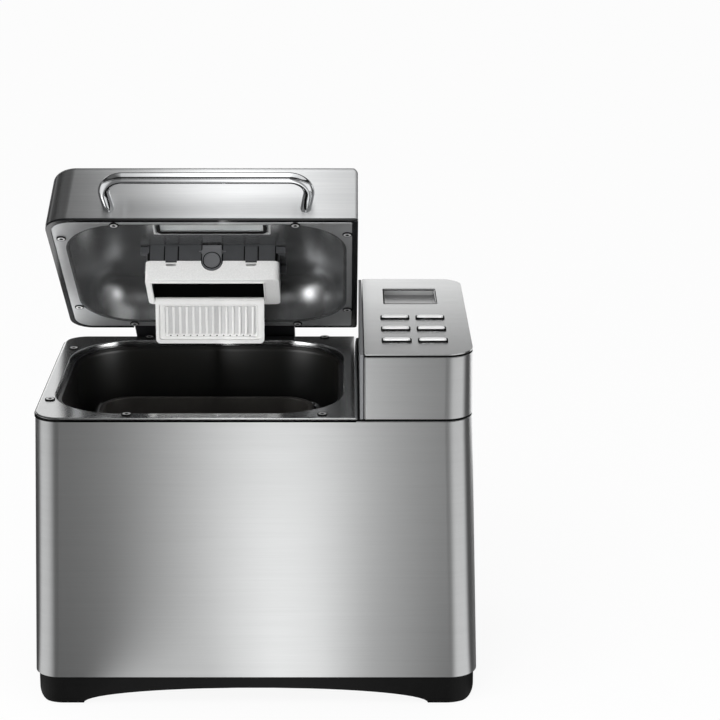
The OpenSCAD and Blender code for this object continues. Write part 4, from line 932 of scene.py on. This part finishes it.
wire = np.radians(np.linspace(-90, 90, 7))
rings = [disc_ring(PAN_HOLE, pan_low)]
rings += [pan_ring(pan_low + PAN_FLOOR_R * (1 - s), pan_wall(pan_low) + PAN_FLOOR_R * c)
          for c, s in quarter(5)[::-1]]
rings += [pan_ring(z, pan_wall(z)) for z in np.linspace(pan_low + 20, pan_high - 4, 5)]
rings += [pan_ring(pan_high - RIM_WIRE * (1 - math.sin(a)), -PAN_RIM + RIM_WIRE * (1 - math.cos(a)))
          for a in wire]
rings += [pan_ring(pan_high - 0.8 * c, PAN_WALL - 1.0 + 1.0 * s) for c, s in quarter(3)]
inner_z = pan_low + PAN_WALL
rings += [pan_ring(z, PAN_WALL + pan_wall(z)) for z in np.linspace(pan_high - 4, inner_z + PAN_FLOOR_R, 6)]
rings += [pan_ring(inner_z + PAN_FLOOR_R * (1 - s), PAN_WALL + pan_wall(pan_low) + PAN_FLOOR_R * c)
          for c, s in quarter(5)[1:]]
rings += [disc_ring(PAN_HOLE, inner_z)]
pan = build("pan_pressing", np.array(rings), along=True)
settle(pan, "pan", pan_coating, "pan_coating", "bread_pan")

# %% Pan handle and its ears
bail_low, bail_high = low("pan_handle"), high("pan_handle")
BAIL_R, BAIL_BEND = (bail_high[2] - bail_low[2]) / 2, 14.0
bail_x = (bail_high[0] - bail_low[0]) / 2 - BAIL_R
bail_z = (bail_high[2] + bail_low[2]) / 2
bail_y = bail_high[1] - BAIL_R


def bail_half(side):
    """The bail from its ear to its corner: a leg and a bend of a quarter circle."""
    a = np.radians(np.linspace(0, 90, 9))
    bend = np.stack([bail_x - BAIL_BEND + BAIL_BEND * np.cos(a), bail_y - BAIL_BEND + BAIL_BEND * np.sin(a)], 1)
    legs = np.concatenate([[[pan_half[0] + 0.6, oven_y], [bail_x - 1.5, oven_y], [bail_x, oven_y + 1.5]], bend])
    return np.stack([oven_x + side * legs[:, 0], legs[:, 1], np.full(len(legs), bail_z)], 1)


bail = tube("pan_bail", np.concatenate([bail_half(-1), bail_half(1)[::-1]]), (0, 0, 1), BAIL_R, 20)
settle(bail, "bail", chrome, "chrome_tube", "pan_handle")
EAR_R, EAR_IN, EAR_OUT, EAR_CHAMFER, EAR_SIDES = 6.0, 1.8, 4.4, 1.0, 32


def ear_turn(x, r):
    """A circle of radius r round the bail's pivot, in the plane at x."""
    a = np.linspace(0, 2 * np.pi, EAR_SIDES, endpoint=False)
    return np.stack([np.full(EAR_SIDES, x), oven_y + r * np.cos(a), bail_z + r * np.sin(a)], 1)


for side, name in ((-1, "pan_ear_left"), (1, "pan_ear_right")):
    root = oven_x + side * (pan_half[0] - EAR_IN)
    profile = ((0.0, EAR_R), (EAR_OUT - EAR_CHAMFER, EAR_R), (EAR_OUT, EAR_R - EAR_CHAMFER),
               (EAR_OUT, BAIL_R + 0.1), (0.0, BAIL_R + 0.1))
    ear = build(name, np.array([ear_turn(root + side * out, r) for out, r in profile]), along=True)
    settle(ear, "pan", pan_coating, "pan_coating")
reused("kneading_paddle", 0.8, 2, "paddle", pan_coating, "pan_coating")
print("pan: rim", 2 * (pan_half + PAN_RIM), "mm")

# %% [markdown]
# ## The control pod
#
# A stainless cap stands on a grey housing whose flank shows beside the oven.
# Its top plate is cut out for the display recess and six bare buttons.


# %% Grain for the CAD copies
def lay_grain(piece):
    """Grain map in metres for a CAD copy: (x, y) on level faces, and (along the wall, z) elsewhere."""
    mesh = piece.data
    layer = mesh.uv_layers.new(name="grain")
    for face in mesh.polygons:
        n = face.normal
        for loop in face.loop_indices:
            x, y, z = mesh.vertices[mesh.loops[loop].vertex_index].co
            layer.data[loop].uv = (x, y) if abs(n.z) > 0.7 else (x, z) if abs(n.y) > abs(n.x) else (y, z)
    return piece


# %% Pod cap and fascia
pod_low, pod_high = low("pod_panel"), high("pod_panel")
pod_radii = np.array([2.0, pod_r, back_r, 2.0])


def pod_ring(z, inset):
    """The pod's outline at height z, drawn in by inset."""
    return inset_ring([*pod_low[:2], *pod_high[:2]], pod_radii, z, inset, FINE_STEPS, least=0.5)


CAP_TOP = pod_high[2] - 0.8
rings = [pod_ring(pod_low[2] + 0.4, SHEET), pod_ring(pod_low[2] + 0.4, 0.0)]
rings += [pod_ring(z, 0.0) for z in np.linspace(pod_low[2] + 6, CAP_TOP - 0.8, 5)]
rings += [pod_ring(CAP_TOP - 0.6 * (1 - s), 0.36 * c) for c, s in quarter(4)[1:]]
rings += [pod_ring(CAP_TOP, SHEET)]
settle(build("pod_cap", np.array(rings), along=True), "body", panel_steel, "stainless", "pod_panel")
# A black band in the groove between the cap and the fascia: painted shade in the seam.
SEAM_LOW, SEAM_HIGH, SEAM_OUT, SEAM_IN = CAP_TOP - 1.0, pod_high[2] + 0.75, 0.5, SHEET + 0.05
section = ((SEAM_LOW, SEAM_IN), (SEAM_LOW, SEAM_OUT), (SEAM_HIGH, SEAM_OUT), (SEAM_HIGH, SEAM_IN))
seam = build("pod_seam_shade", np.array([pod_ring(z, inset) for z, inset in section]), along=True)
settle(seam, "body", shade_and_gasket_black, "black_plastic")
reused("pod_housing", 0.6, 2, "body", grey_plastic, "pod_grey")
lay_grain(reused("control_fascia", 0.35, 2, "body", top_steel, "stainless"))
reused("lcd_glass", 0.1, 1, "body", display_glass, "display_glass")
print("pod:", pod_low.round(1), pod_high.round(1))

# %% Buttons, each with a black ring round it: painted shade in the gap
GAP_IN, GAP_WIDE, GAP_HIGH = 0.3, 1.05, 1.1    # drawn in from the button's hidden flange
for name in ("menu", "colour", "loaf", "time_up", "time_down", "start"):
    node = name + "_button"
    reused(node, 0.8, 3, name, button_silver, "button_silver")
    box = shrunk([*low(node)[:2], *high(node)[:2]], GAP_IN)
    # The black ring round each button is painted shade in its gap.
    gap = ridge(name + "_gap", box, 2.0, GAP_WIDE, GAP_HIGH, on_top(top_z))
    settle(gap, "body", shade_and_gasket_black, "black_plastic")

# %% Painted shade: a black outline round the display recess, and black lines for the shadow at its back and left edges
(rx0, ry0, _), (rx1, ry1, _) = low("lcd_bezel"), high("lcd_bezel")
outline = (rx0 + 0.1, ry0 + 0.1, rx1 - 0.1, ry1 + 0.3)
settle(ridge("lcd_shade_outline", outline, 2.0, 0.8, 0.15, on_top(top_z)), "body", shade_and_gasket_black, "black_plastic")
for name, box in (("lcd_back_line", (rx0 + 0.4, ry1 - 1.2, rx1 - 0.4, ry1 + 1.0)),
                  ("lcd_left_line", (rx0 + 0.1, ry0 + 0.6, rx0 + 1.4, ry1 - 0.6))):
    settle(pad(name, box, 0.5, 0.12, 0.05, on_top(top_z)), "body", shade_and_gasket_black, "black_plastic")

# %% [markdown]
# ## The lid
#
# All of it is drawn on the closed lid and turned open by the hinge. The cover
# is one pressing: a low front band, a soft edge and a flat top with a hole for
# the window. The liner under it is a flange with a deep bowl.

# %% Lid cover
LID_LEAN, LID_H, LID_CORNER_R, LID_TOP_R, CUT_OUT, GLASS_R = 6.0, 49.0, 20.0, 7.0, 3.9, 2.0
liner_low, _ = closed_box("lid_liner")
pane_low, pane_high = closed_box("window_panes")
glass = shrunk((*pane_low[:2], *pane_high[:2]), 2.0)


def lid_ring(z, inset):
    """The cover's outline at height z, drawn in by inset: its left side leans in with the height."""
    lean = LID_LEAN * max(z - lid_low[2], 0.0) / LID_H
    r = max(LID_CORNER_R - inset, 2.0)
    right = lid_high[0] - min(inset, 2.0)
    box = (lid_low[0] + inset + lean, lid_low[1] + inset, right, lid_high[1] - inset)
    return raised(rounded_loop(box, [r, 3.0, 3.0, r]), z)


def window_ring(z, grow):
    """The window's outline at height z, grown outwards."""
    return raised(rounded_loop(shrunk(glass, -grow), [GLASS_R] * 4), z)


def lid_roll(drop):
    """Rings of the soft top edge of the cover, or of its inside when drop is the sheet thickness."""
    r = LID_TOP_R - drop
    return [lid_ring(lid_high[2] - drop - r * (1 - s), drop + r * c) for c, s in quarter(7)]


rings = [lid_ring(lid_low[2], 0.0)]
rings += [lid_ring(z, 0.0) for z in np.linspace(lid_low[2] + 1, lid_high[2] - 9, 6)]
rings += lid_roll(0.0)
rings += [window_ring(lid_high[2], CUT_OUT), window_ring(lid_high[2] - SHEET, CUT_OUT)]
rings += lid_roll(SHEET)[::-1]
rings += [lid_ring(lid_low[2], SHEET)]
cover = build("lid_pressing", np.array(rings), opened, along=True)
settle(cover, "lid", lid_steel, "stainless", "lid_cover")
reused("lid_frame", 0.3, 2, "lid", glossy_black, "black_plastic")
print("lid cover:", len(cover.data.polygons), "faces")

# %% Lid liner: flange and bowl
bowl_box = (lid_low[0] + 16.5, lid_low[1] + 11.0, lid_high[0] - 12.5, lid_high[1] - 17.0)
BOWL_R, BOWL_IN, BOWL_H, LINER_IN, LINER_R = 48.0, 30.0, 34.0, 5.0, 16.0
liner_z = liner_low[2] + 1.0


def flange_ring(z, inset):
    """The liner's outline at height z, drawn in by inset."""
    box = shrunk((*lid_low[:2], *lid_high[:2]), LINER_IN + inset)
    return raised(rounded_loop(box, [LINER_R - inset, 2, 2, LINER_R - inset]), z)


def bowl_ring(z, inset):
    """The bowl's outline at height z, drawn in by inset."""
    return inset_ring(bowl_box, [BOWL_R] * 4, z, inset)


def bowl_rings(grow):
    """The bowl's wall, a quarter ellipse from rim to ceiling: height h sin a and inset w (1 - cos a)."""
    return [bowl_ring(liner_z + (BOWL_H + grow) * s, BOWL_IN * c - grow) for c, s in quarter(12)]


rings = [flange_ring(liner_z, 0.0), flange_ring(liner_z - 0.6, 0.0), flange_ring(liner_z - 1.0, 0.4)]
rings += [bowl_ring(liner_z - 1.0, -3.0), bowl_ring(liner_z - 0.7, -1.2)]
rings += bowl_rings(0.0)
rings += [window_ring(liner_z + BOWL_H, 0.0), window_ring(liner_z + BOWL_H + 1, 0.0)]
rings += bowl_rings(1.0)[::-1]
liner = build("liner_pressing", np.array(rings), opened, along=True)
settle(liner, "lid", liner_metal, "liner_alloy", "lid_liner")
turn = len(bowl_ring(0.0, 0.0))
# The flange's rows take the lighter copy of the alloy: painted light.
another_finish(liner, flange_alloy_painted_light, lambda face: face.index < 3 * turn)
print("liner:", len(liner.data.polygons), "faces")

# %% Window: frame, panes, seal and two small tabs
TAB_APART, TAB_WIDE, TAB_DEEP, SEAL_OUT = 69.0, 5.0, 4.0, 0.6
reused("window_frame", 0.5, 2, "lid", bezel_silver, "window_silver")
reused("window_panes", 0.3, 1, "lid", window_glass, "window_glass")
under_pane = on_underside(pane_low[2], opened)
seal = ridge("window_seal", shrunk(glass, -SEAL_OUT), 5.0, 3.2, 1.2, under_pane, sink=0.0)
settle(seal, "lid", shade_and_gasket_black, "black_plastic")
tab_x, tab_y = (glass[0] + glass[2] - TAB_APART - TAB_WIDE) / 2, glass[1] + 1.0
tab = (tab_x, tab_y, tab_x + TAB_WIDE, tab_y + TAB_DEEP)
tabs = repeated(pad("window_tabs", tab, 1.0, 1.7, 0.3, under_pane, sink=0.0), [TAB_APART])
settle(tabs, "lid", bezel_silver, "window_silver")

# %% [markdown]
# ## The handle
#
# A handle like this is chromed tube bent round a former, so it is a circle
# carried along a path: two splayed legs, two bends and a straight bar. A path
# worked out from lengths and angles keeps the bends true arcs.

# %% Handle: a bent tube whose plane leans up from the band
HANDLE_RISE, HANDLE_SPLAY, HANDLE_BEND, HANDLE_R = 20.0, 9.0, 16.0, 4.75
HANDLE_SPAN, HANDLE_REACH = 163.0, 33.0
handle_low, handle_high = closed_box("handle_screws")
handle_x = (handle_low[0] + handle_high[0]) / 2
handle_z = (handle_low[2] + handle_high[2]) / 2
splay = math.radians(HANDLE_SPLAY)
leg = (HANDLE_REACH - HANDLE_BEND * (1 + math.sin(splay))) / math.cos(splay)
turn_x = HANDLE_SPAN / 2 + leg * math.sin(splay) - HANDLE_BEND * math.cos(splay)


def handle_half(side):
    """Leg and bend: from the foot out by the splay angle, then round 90 degrees plus the splay."""
    h = np.radians(np.linspace(270 - HANDLE_SPLAY, 360, 13))
    x = side * (turn_x - HANDLE_BEND * np.sin(h))
    y = -HANDLE_REACH + HANDLE_BEND - HANDLE_BEND * np.cos(h)
    foot = [[side * (HANDLE_SPAN / 2 - 1.5 * math.sin(splay)), 1.5 * math.cos(splay)]]
    return np.concatenate([foot, np.stack([x, y], 1)])


path = np.concatenate([handle_half(-1), handle_half(1)[::-1]])
rise = math.radians(HANDLE_RISE)
path = np.stack([handle_x + path[:, 0], lid_low[1] + path[:, 1] * math.cos(rise),
                 handle_z - path[:, 1] * math.sin(rise)], 1)
handle = tube("lid_handle_tube", path, (0, math.sin(rise), math.cos(rise)), HANDLE_R, 32, opened)
settle(handle, "lid", chrome, "chrome_tube", "lid_handle")
reused("hinge_block", 0.8, 2, "lid", black_plastic, "black_plastic")
print("handle: reaches", HANDLE_REACH, "mm, tube", 2 * HANDLE_R, "mm")

# %% [markdown]
# ## The dispenser
#
# The dispenser is moulded: a dark housing in the bowl, a silver frame, a flap
# that hangs open, and a latch. The CAD solids give their bodies. Straps, ribs,
# holes and lips are low reliefs, each drawn flat as a rounded rectangle and
# then placed on its face, because that keeps small moulded detail crisp.

# %% Dispenser
housing = reused("dispenser_housing", 0.8, 3, "lid", housing_plastic, "dispenser_dark")
reused("dispenser_frame", 1.1, 4, "lid", blasted, "dispenser_silver")
reused("dispenser_flap", 0.5, 3, "flap", flap_silver, "dispenser_silver")
reused("dispenser_latch", 0.7, 3, "latch", latch_plastic, "latch_grey")
box_low, box_high = closed_box("dispenser_frame")
box_x = (box_low[0] + box_high[0]) / 2
house_low, house_high = closed_box("dispenser_housing")
CAVITY_HALF = 57.0


def housing_face_in_shade(face):
    """Whether a face of the housing belongs to its cavity, or to the part that the frame hides."""
    x, y, z = shut_again(np.array(face.center) / MM)
    in_cavity = abs(x - box_x) < CAVITY_HALF and y > house_low[1] + 1.0 and z < house_high[2] - 0.5
    return in_cavity or z < box_high[2]


# Faces in the cavity and under the frame take the black finish: painted shade.
another_finish(housing, shade_and_gasket_black, housing_face_in_shade)
print("dispenser frame:", box_low.round(1), box_high.round(1))

# %% Two straps on the dispenser's front and the scoops under them
STRAP_X, STRAP_APART = box_x - 36.0, 70.0


def strap_box(half, z0, z1):
    """A rectangle on an upright face, half wide each way from the left strap's middle."""
    return STRAP_X - half, z0, STRAP_X + half, z1


on_housing = on_front(house_low[1], opened)
strap_low, strap_high = box_high[2] + 0.4, house_high[2] - 1.2
straps = pad("dispenser_straps", strap_box(5.5, strap_low, strap_high), 0.4, 0.7, 0.3, on_housing)
settle(repeated(straps, [STRAP_APART]), "lid", housing_plastic, "dispenser_dark")
# A black outline round each strap: painted shade in the gap beside it.
gaps = pad("strap_gap_shade", strap_box(6.6, strap_low - 0.2, strap_high + 0.2), 0.4, 0.12, 0.05, on_housing)
settle(repeated(gaps, [STRAP_APART]), "lid", shade_and_gasket_black, "dispenser_dark")
scoop = strap_box(4.5, box_high[2] - 6.2, box_high[2] - 1.9)
scoops = pad("dispenser_scoops", scoop, 3.0, 0.35, 0.15, on_front(box_low[1], opened))
settle(repeated(scoops, [STRAP_APART]), "lid", flap_silver, "dispenser_silver")

# %% The lip round the dispenser's mouth
LIP_X0, LIP_X1, LIP_FRONT, LIP_BACK, LIP_WIDE = -95.4, 5.0, -3.9, 40.4, 1.4
under_frame = on_underside(box_low[2], opened)
lip = (LIP_X0, LIP_FRONT, LIP_X1, LIP_FRONT + LIP_WIDE)
lip = pad("dispenser_lip_front", lip, 0.6, 0.7, 0.4, under_frame)
settle(lip, "lid", flap_silver, "dispenser_silver")
lip = pad("dispenser_lip_sides", (LIP_X0, LIP_FRONT, LIP_X0 + LIP_WIDE, LIP_BACK), 0.6, 0.7, 0.4, under_frame)
settle(repeated(lip, [LIP_X1 - LIP_X0 - LIP_WIDE]), "lid", flap_silver, "dispenser_silver")

# %% The latch's round button
latch_low, latch_high = closed_box("dispenser_latch")
LATCH_PIN_OUT = 3.5    # how far its pins stand out at each side
RIM_IN, GROOVE_IN = 1.4, 0.5
latch_x, latch_r = (latch_low[0] + latch_high[0]) / 2, (latch_high[0] - latch_low[0]) / 2 - LATCH_PIN_OUT


def latch_box(inset, z0, z1):
    """A rectangle as wide as the latch, drawn in by inset at both sides."""
    return latch_x - latch_r + inset, z0, latch_x + latch_r - inset, z1


def knob_box(inset):
    """The square round the latch's button, drawn in by inset."""
    return latch_box(inset, latch_low[2] + inset, latch_low[2] + 2 * latch_r - inset)


bracket = latch_box(0.0, latch_low[2] + latch_r, house_high[2] - 0.9)
bracket = pad("latch_bracket", bracket, 0.8, 0.9, 0.4, on_front(latch_low[1] + 1.0, opened))
settle(bracket, "latch", latch_plastic, "latch_grey")
step = latch_box(0.4, house_high[2] - 4.0, house_high[2] - 1.4)
step = pad("latch_step", step, 0.8, 0.7, 0.4, on_front(latch_low[1] + 0.1, opened))
settle(step, "latch", latch_plastic, "latch_grey")
on_latch = on_front(latch_low[1], opened)
rim = ridge("latch_rim", knob_box(RIM_IN), latch_r - RIM_IN - 0.1, 1.5, 0.6, on_latch)
settle(rim, "latch", latch_plastic, "latch_grey")
# A black ring round the button: painted shade in its groove.
groove = ridge("latch_groove_shade", knob_box(GROOVE_IN), latch_r - GROOVE_IN - 0.1, 0.8, 0.1, on_latch)
settle(groove, "latch", shade_and_gasket_black, "dispenser_dark")

# %% The flap's ribs, painted shade on the ground between them, and its row of small holes painted as black dots of shade
flap_pivot = turned(flap_axis, hinge_axis, lid_angle)
flap_y, flap_face = flap_pivot[1], flap_pivot[2] - 0.2


def on_flap(points):
    """Places a relief on the inner face of the shut flap, then hangs the flap open."""
    return hanging(points + np.array([0.0, 0.0, flap_face]))


FLAP_X0, FLAP_X1, FLAP_FRONT = -93.5, 3.1, -1.65
RIB_GAP, RIBS, RIB_HALF, HOLE_R = 5.9, 14, 1.25, 0.65
first_rib = (FLAP_X0 + FLAP_X1) / 2 - (RIBS - 1) / 2 * RIB_GAP
frame_line = (FLAP_X0 + 6.6, FLAP_FRONT + 4.4, FLAP_X1 - 5.6, flap_y - 4.2)
frame_line = ridge("flap_inner_line", frame_line, 3.0, 1.3, 0.8, on_flap)
settle(frame_line, "flap", flap_silver, "dispenser_silver")
# The ground between the ribs takes the darker copy of the flap's silver: painted shade in the valleys.
ground = (FLAP_X0 + 8.0, FLAP_FRONT + 8.2, FLAP_X1 - 7.0, flap_y - 5.4)
settle(pad("flap_ground_painted_shade", ground, 2.0, 0.1, 0.04, on_flap), "flap", flap_ground_painted_shade, "dispenser_silver")
rib = (first_rib - RIB_HALF, FLAP_FRONT + 7.6, first_rib + RIB_HALF, flap_y - 5.8)
rib_shifts = [RIB_GAP * k for k in range(1, RIBS)]
bars = repeated(pad("flap_ribs", rib, 1.2, 1.5, 0.9, on_flap), rib_shifts)
settle(bars, "flap", flap_silver, "dispenser_silver")
# Black dots for the small holes: painted shade where the holes are.
hole_x, hole_y = first_rib + RIB_GAP / 2, FLAP_FRONT + 5.9
hole = (hole_x - HOLE_R, hole_y, hole_x + HOLE_R, hole_y + 2 * HOLE_R)
holes = repeated(pad("flap_hole_shade", hole, HOLE_R, 0.08, 0.03, on_flap), rib_shifts[:-1])
settle(holes, "flap", shade_and_gasket_black, "dispenser_dark")
print("flap:", RIBS, "ribs")

# %% [markdown]
# ## Screws
#
# The screws are plated and small, and each sits in a hole whose shaded edge is
# what the eye finds first. So the heads are the CAD's own, and a thin black ring
# and a black recess are added at each one: painted shade. The rings need each
# head's place, which comes from splitting the node's mesh into its separate solids.

# %% Screws
for name, body in (("deck_screws", "body"), ("liner_screws", "lid"), ("handle_screws", "lid")):
    reused(name, 0.25, 2, body, screw_steel, "bright_screws")


def solids(node, place):
    """Middle and half width, in millimetres, of each separate solid of a CAD node whose points place has moved.
    Points that share an edge take the lower of their labels until nothing changes."""
    points, same = np.unique(corners(node).round(3), axis=0, return_inverse=True)
    ends = same.ravel()[np.array([edge.vertices[:] for edge in frame["nodes"][node].data.edges])]
    label, before = np.arange(len(points)), None
    while before is None or (label != before).any():
        before = label.copy()
        least = np.minimum(label[ends[:, 0]], label[ends[:, 1]])
        np.minimum.at(label, ends[:, 0], least)
        np.minimum.at(label, ends[:, 1], least)
    points = place(points)
    groups = [points[label == k] for k in np.unique(label)]
    return [((g.min(0) + g.max(0)) / 2, (g.max(0) - g.min(0))[0] / 2) for g in groups]


# %% Painted shade round and in the screw heads
RING_OUT, RING_WIDE, RECESS_HALF, PROUD = 0.9, 1.2, 1.5, 0.05


def screw_shade_rings(name, node, body, height, undo, onto):
    """A thin black ring round each screw head of a node, and a black recess in it: painted shade. undo squares
    the node up, and onto places them on the sheet."""
    heads = solids(node, undo)
    for k, (middle, r) in enumerate(heads, 1):
        ring = ridge(f"{name}_{k}", square(middle, r + RING_OUT), r + 0.8, RING_WIDE, height, onto, sink=0.2)
        recess = pad(f"{name}_recess_{k}", square(middle, RECESS_HALF), 1.4, height, 0.02, onto, sink=0.2)
        for piece in (ring, recess):
            settle(piece, body, shade_and_gasket_black, "black_plastic")
    print(name, "at", len(heads), "screws")


head_high = high("deck_screws")[2] - deck_z + PROUD
screw_shade_rings("deck_screw_shade", "deck_screws", "body", head_high, np.asarray, on_top(deck_z))
liner_face = liner_z - SHEET
head_high = liner_face - closed_box("liner_screws")[0][2] + PROUD
screw_shade_rings("liner_screw_shade", "liner_screws", "lid", head_high, shut_again, on_underside(liner_face, opened))

# %% [markdown]
# ## What stays as the CAD made it
#
# The parts inside the body keep their CAD solids. Each takes the finish that
# its material slot names, so they look right in a cut-away or with the pan out.

# %% Finishes for the CAD solids
motor_case = metal("painted_motor_case", "#4a4c4e", "#56585a", 0.45, metallic=0.5)
ground_steel = metal("ground_steel", "#c0c2c3", "#d6d7d8", 0.22, bump=0.02)
pulley_nylon = moulded("pulley_nylon", "#1d1d1f", "#252527", 0.5)
by_slot = {
    "foot_rubber": foot_rubber, "heater_sheath": heater_sheath, "plated_sheet": plated,
    "cast_alloy": cast_alloy, "ground_steel": ground_steel, "pulley_plastic": pulley_nylon,
    "belt_rubber": belt_rubber, "motor_case": motor_case, "rotor_iron": iron, "circuit_board": board_green,
    "display_dark": display_dark, "coil_tape": coil_tape, "black_plastic": black_plastic,
    "oven_coating": oven_enamel, "bright_screws": screw_steel, "bezel_silver": bezel_silver,
}
slot_of = {part["node"]: part["material_slot"] for part in frame["record"]["subparts"]}
kept = [name for name, node in frame["nodes"].items() if not node.hide_render]
for name in kept:
    node = frame["nodes"][name]
    node.data.materials.clear()
    node.data.materials.append(by_slot[slot_of[name]])
another_finish(frame["nodes"]["lcd_bezel"], display_glass, lambda face: face.normal.z > 0.9)
print("CAD solids kept:", len(kept), sorted(kept))
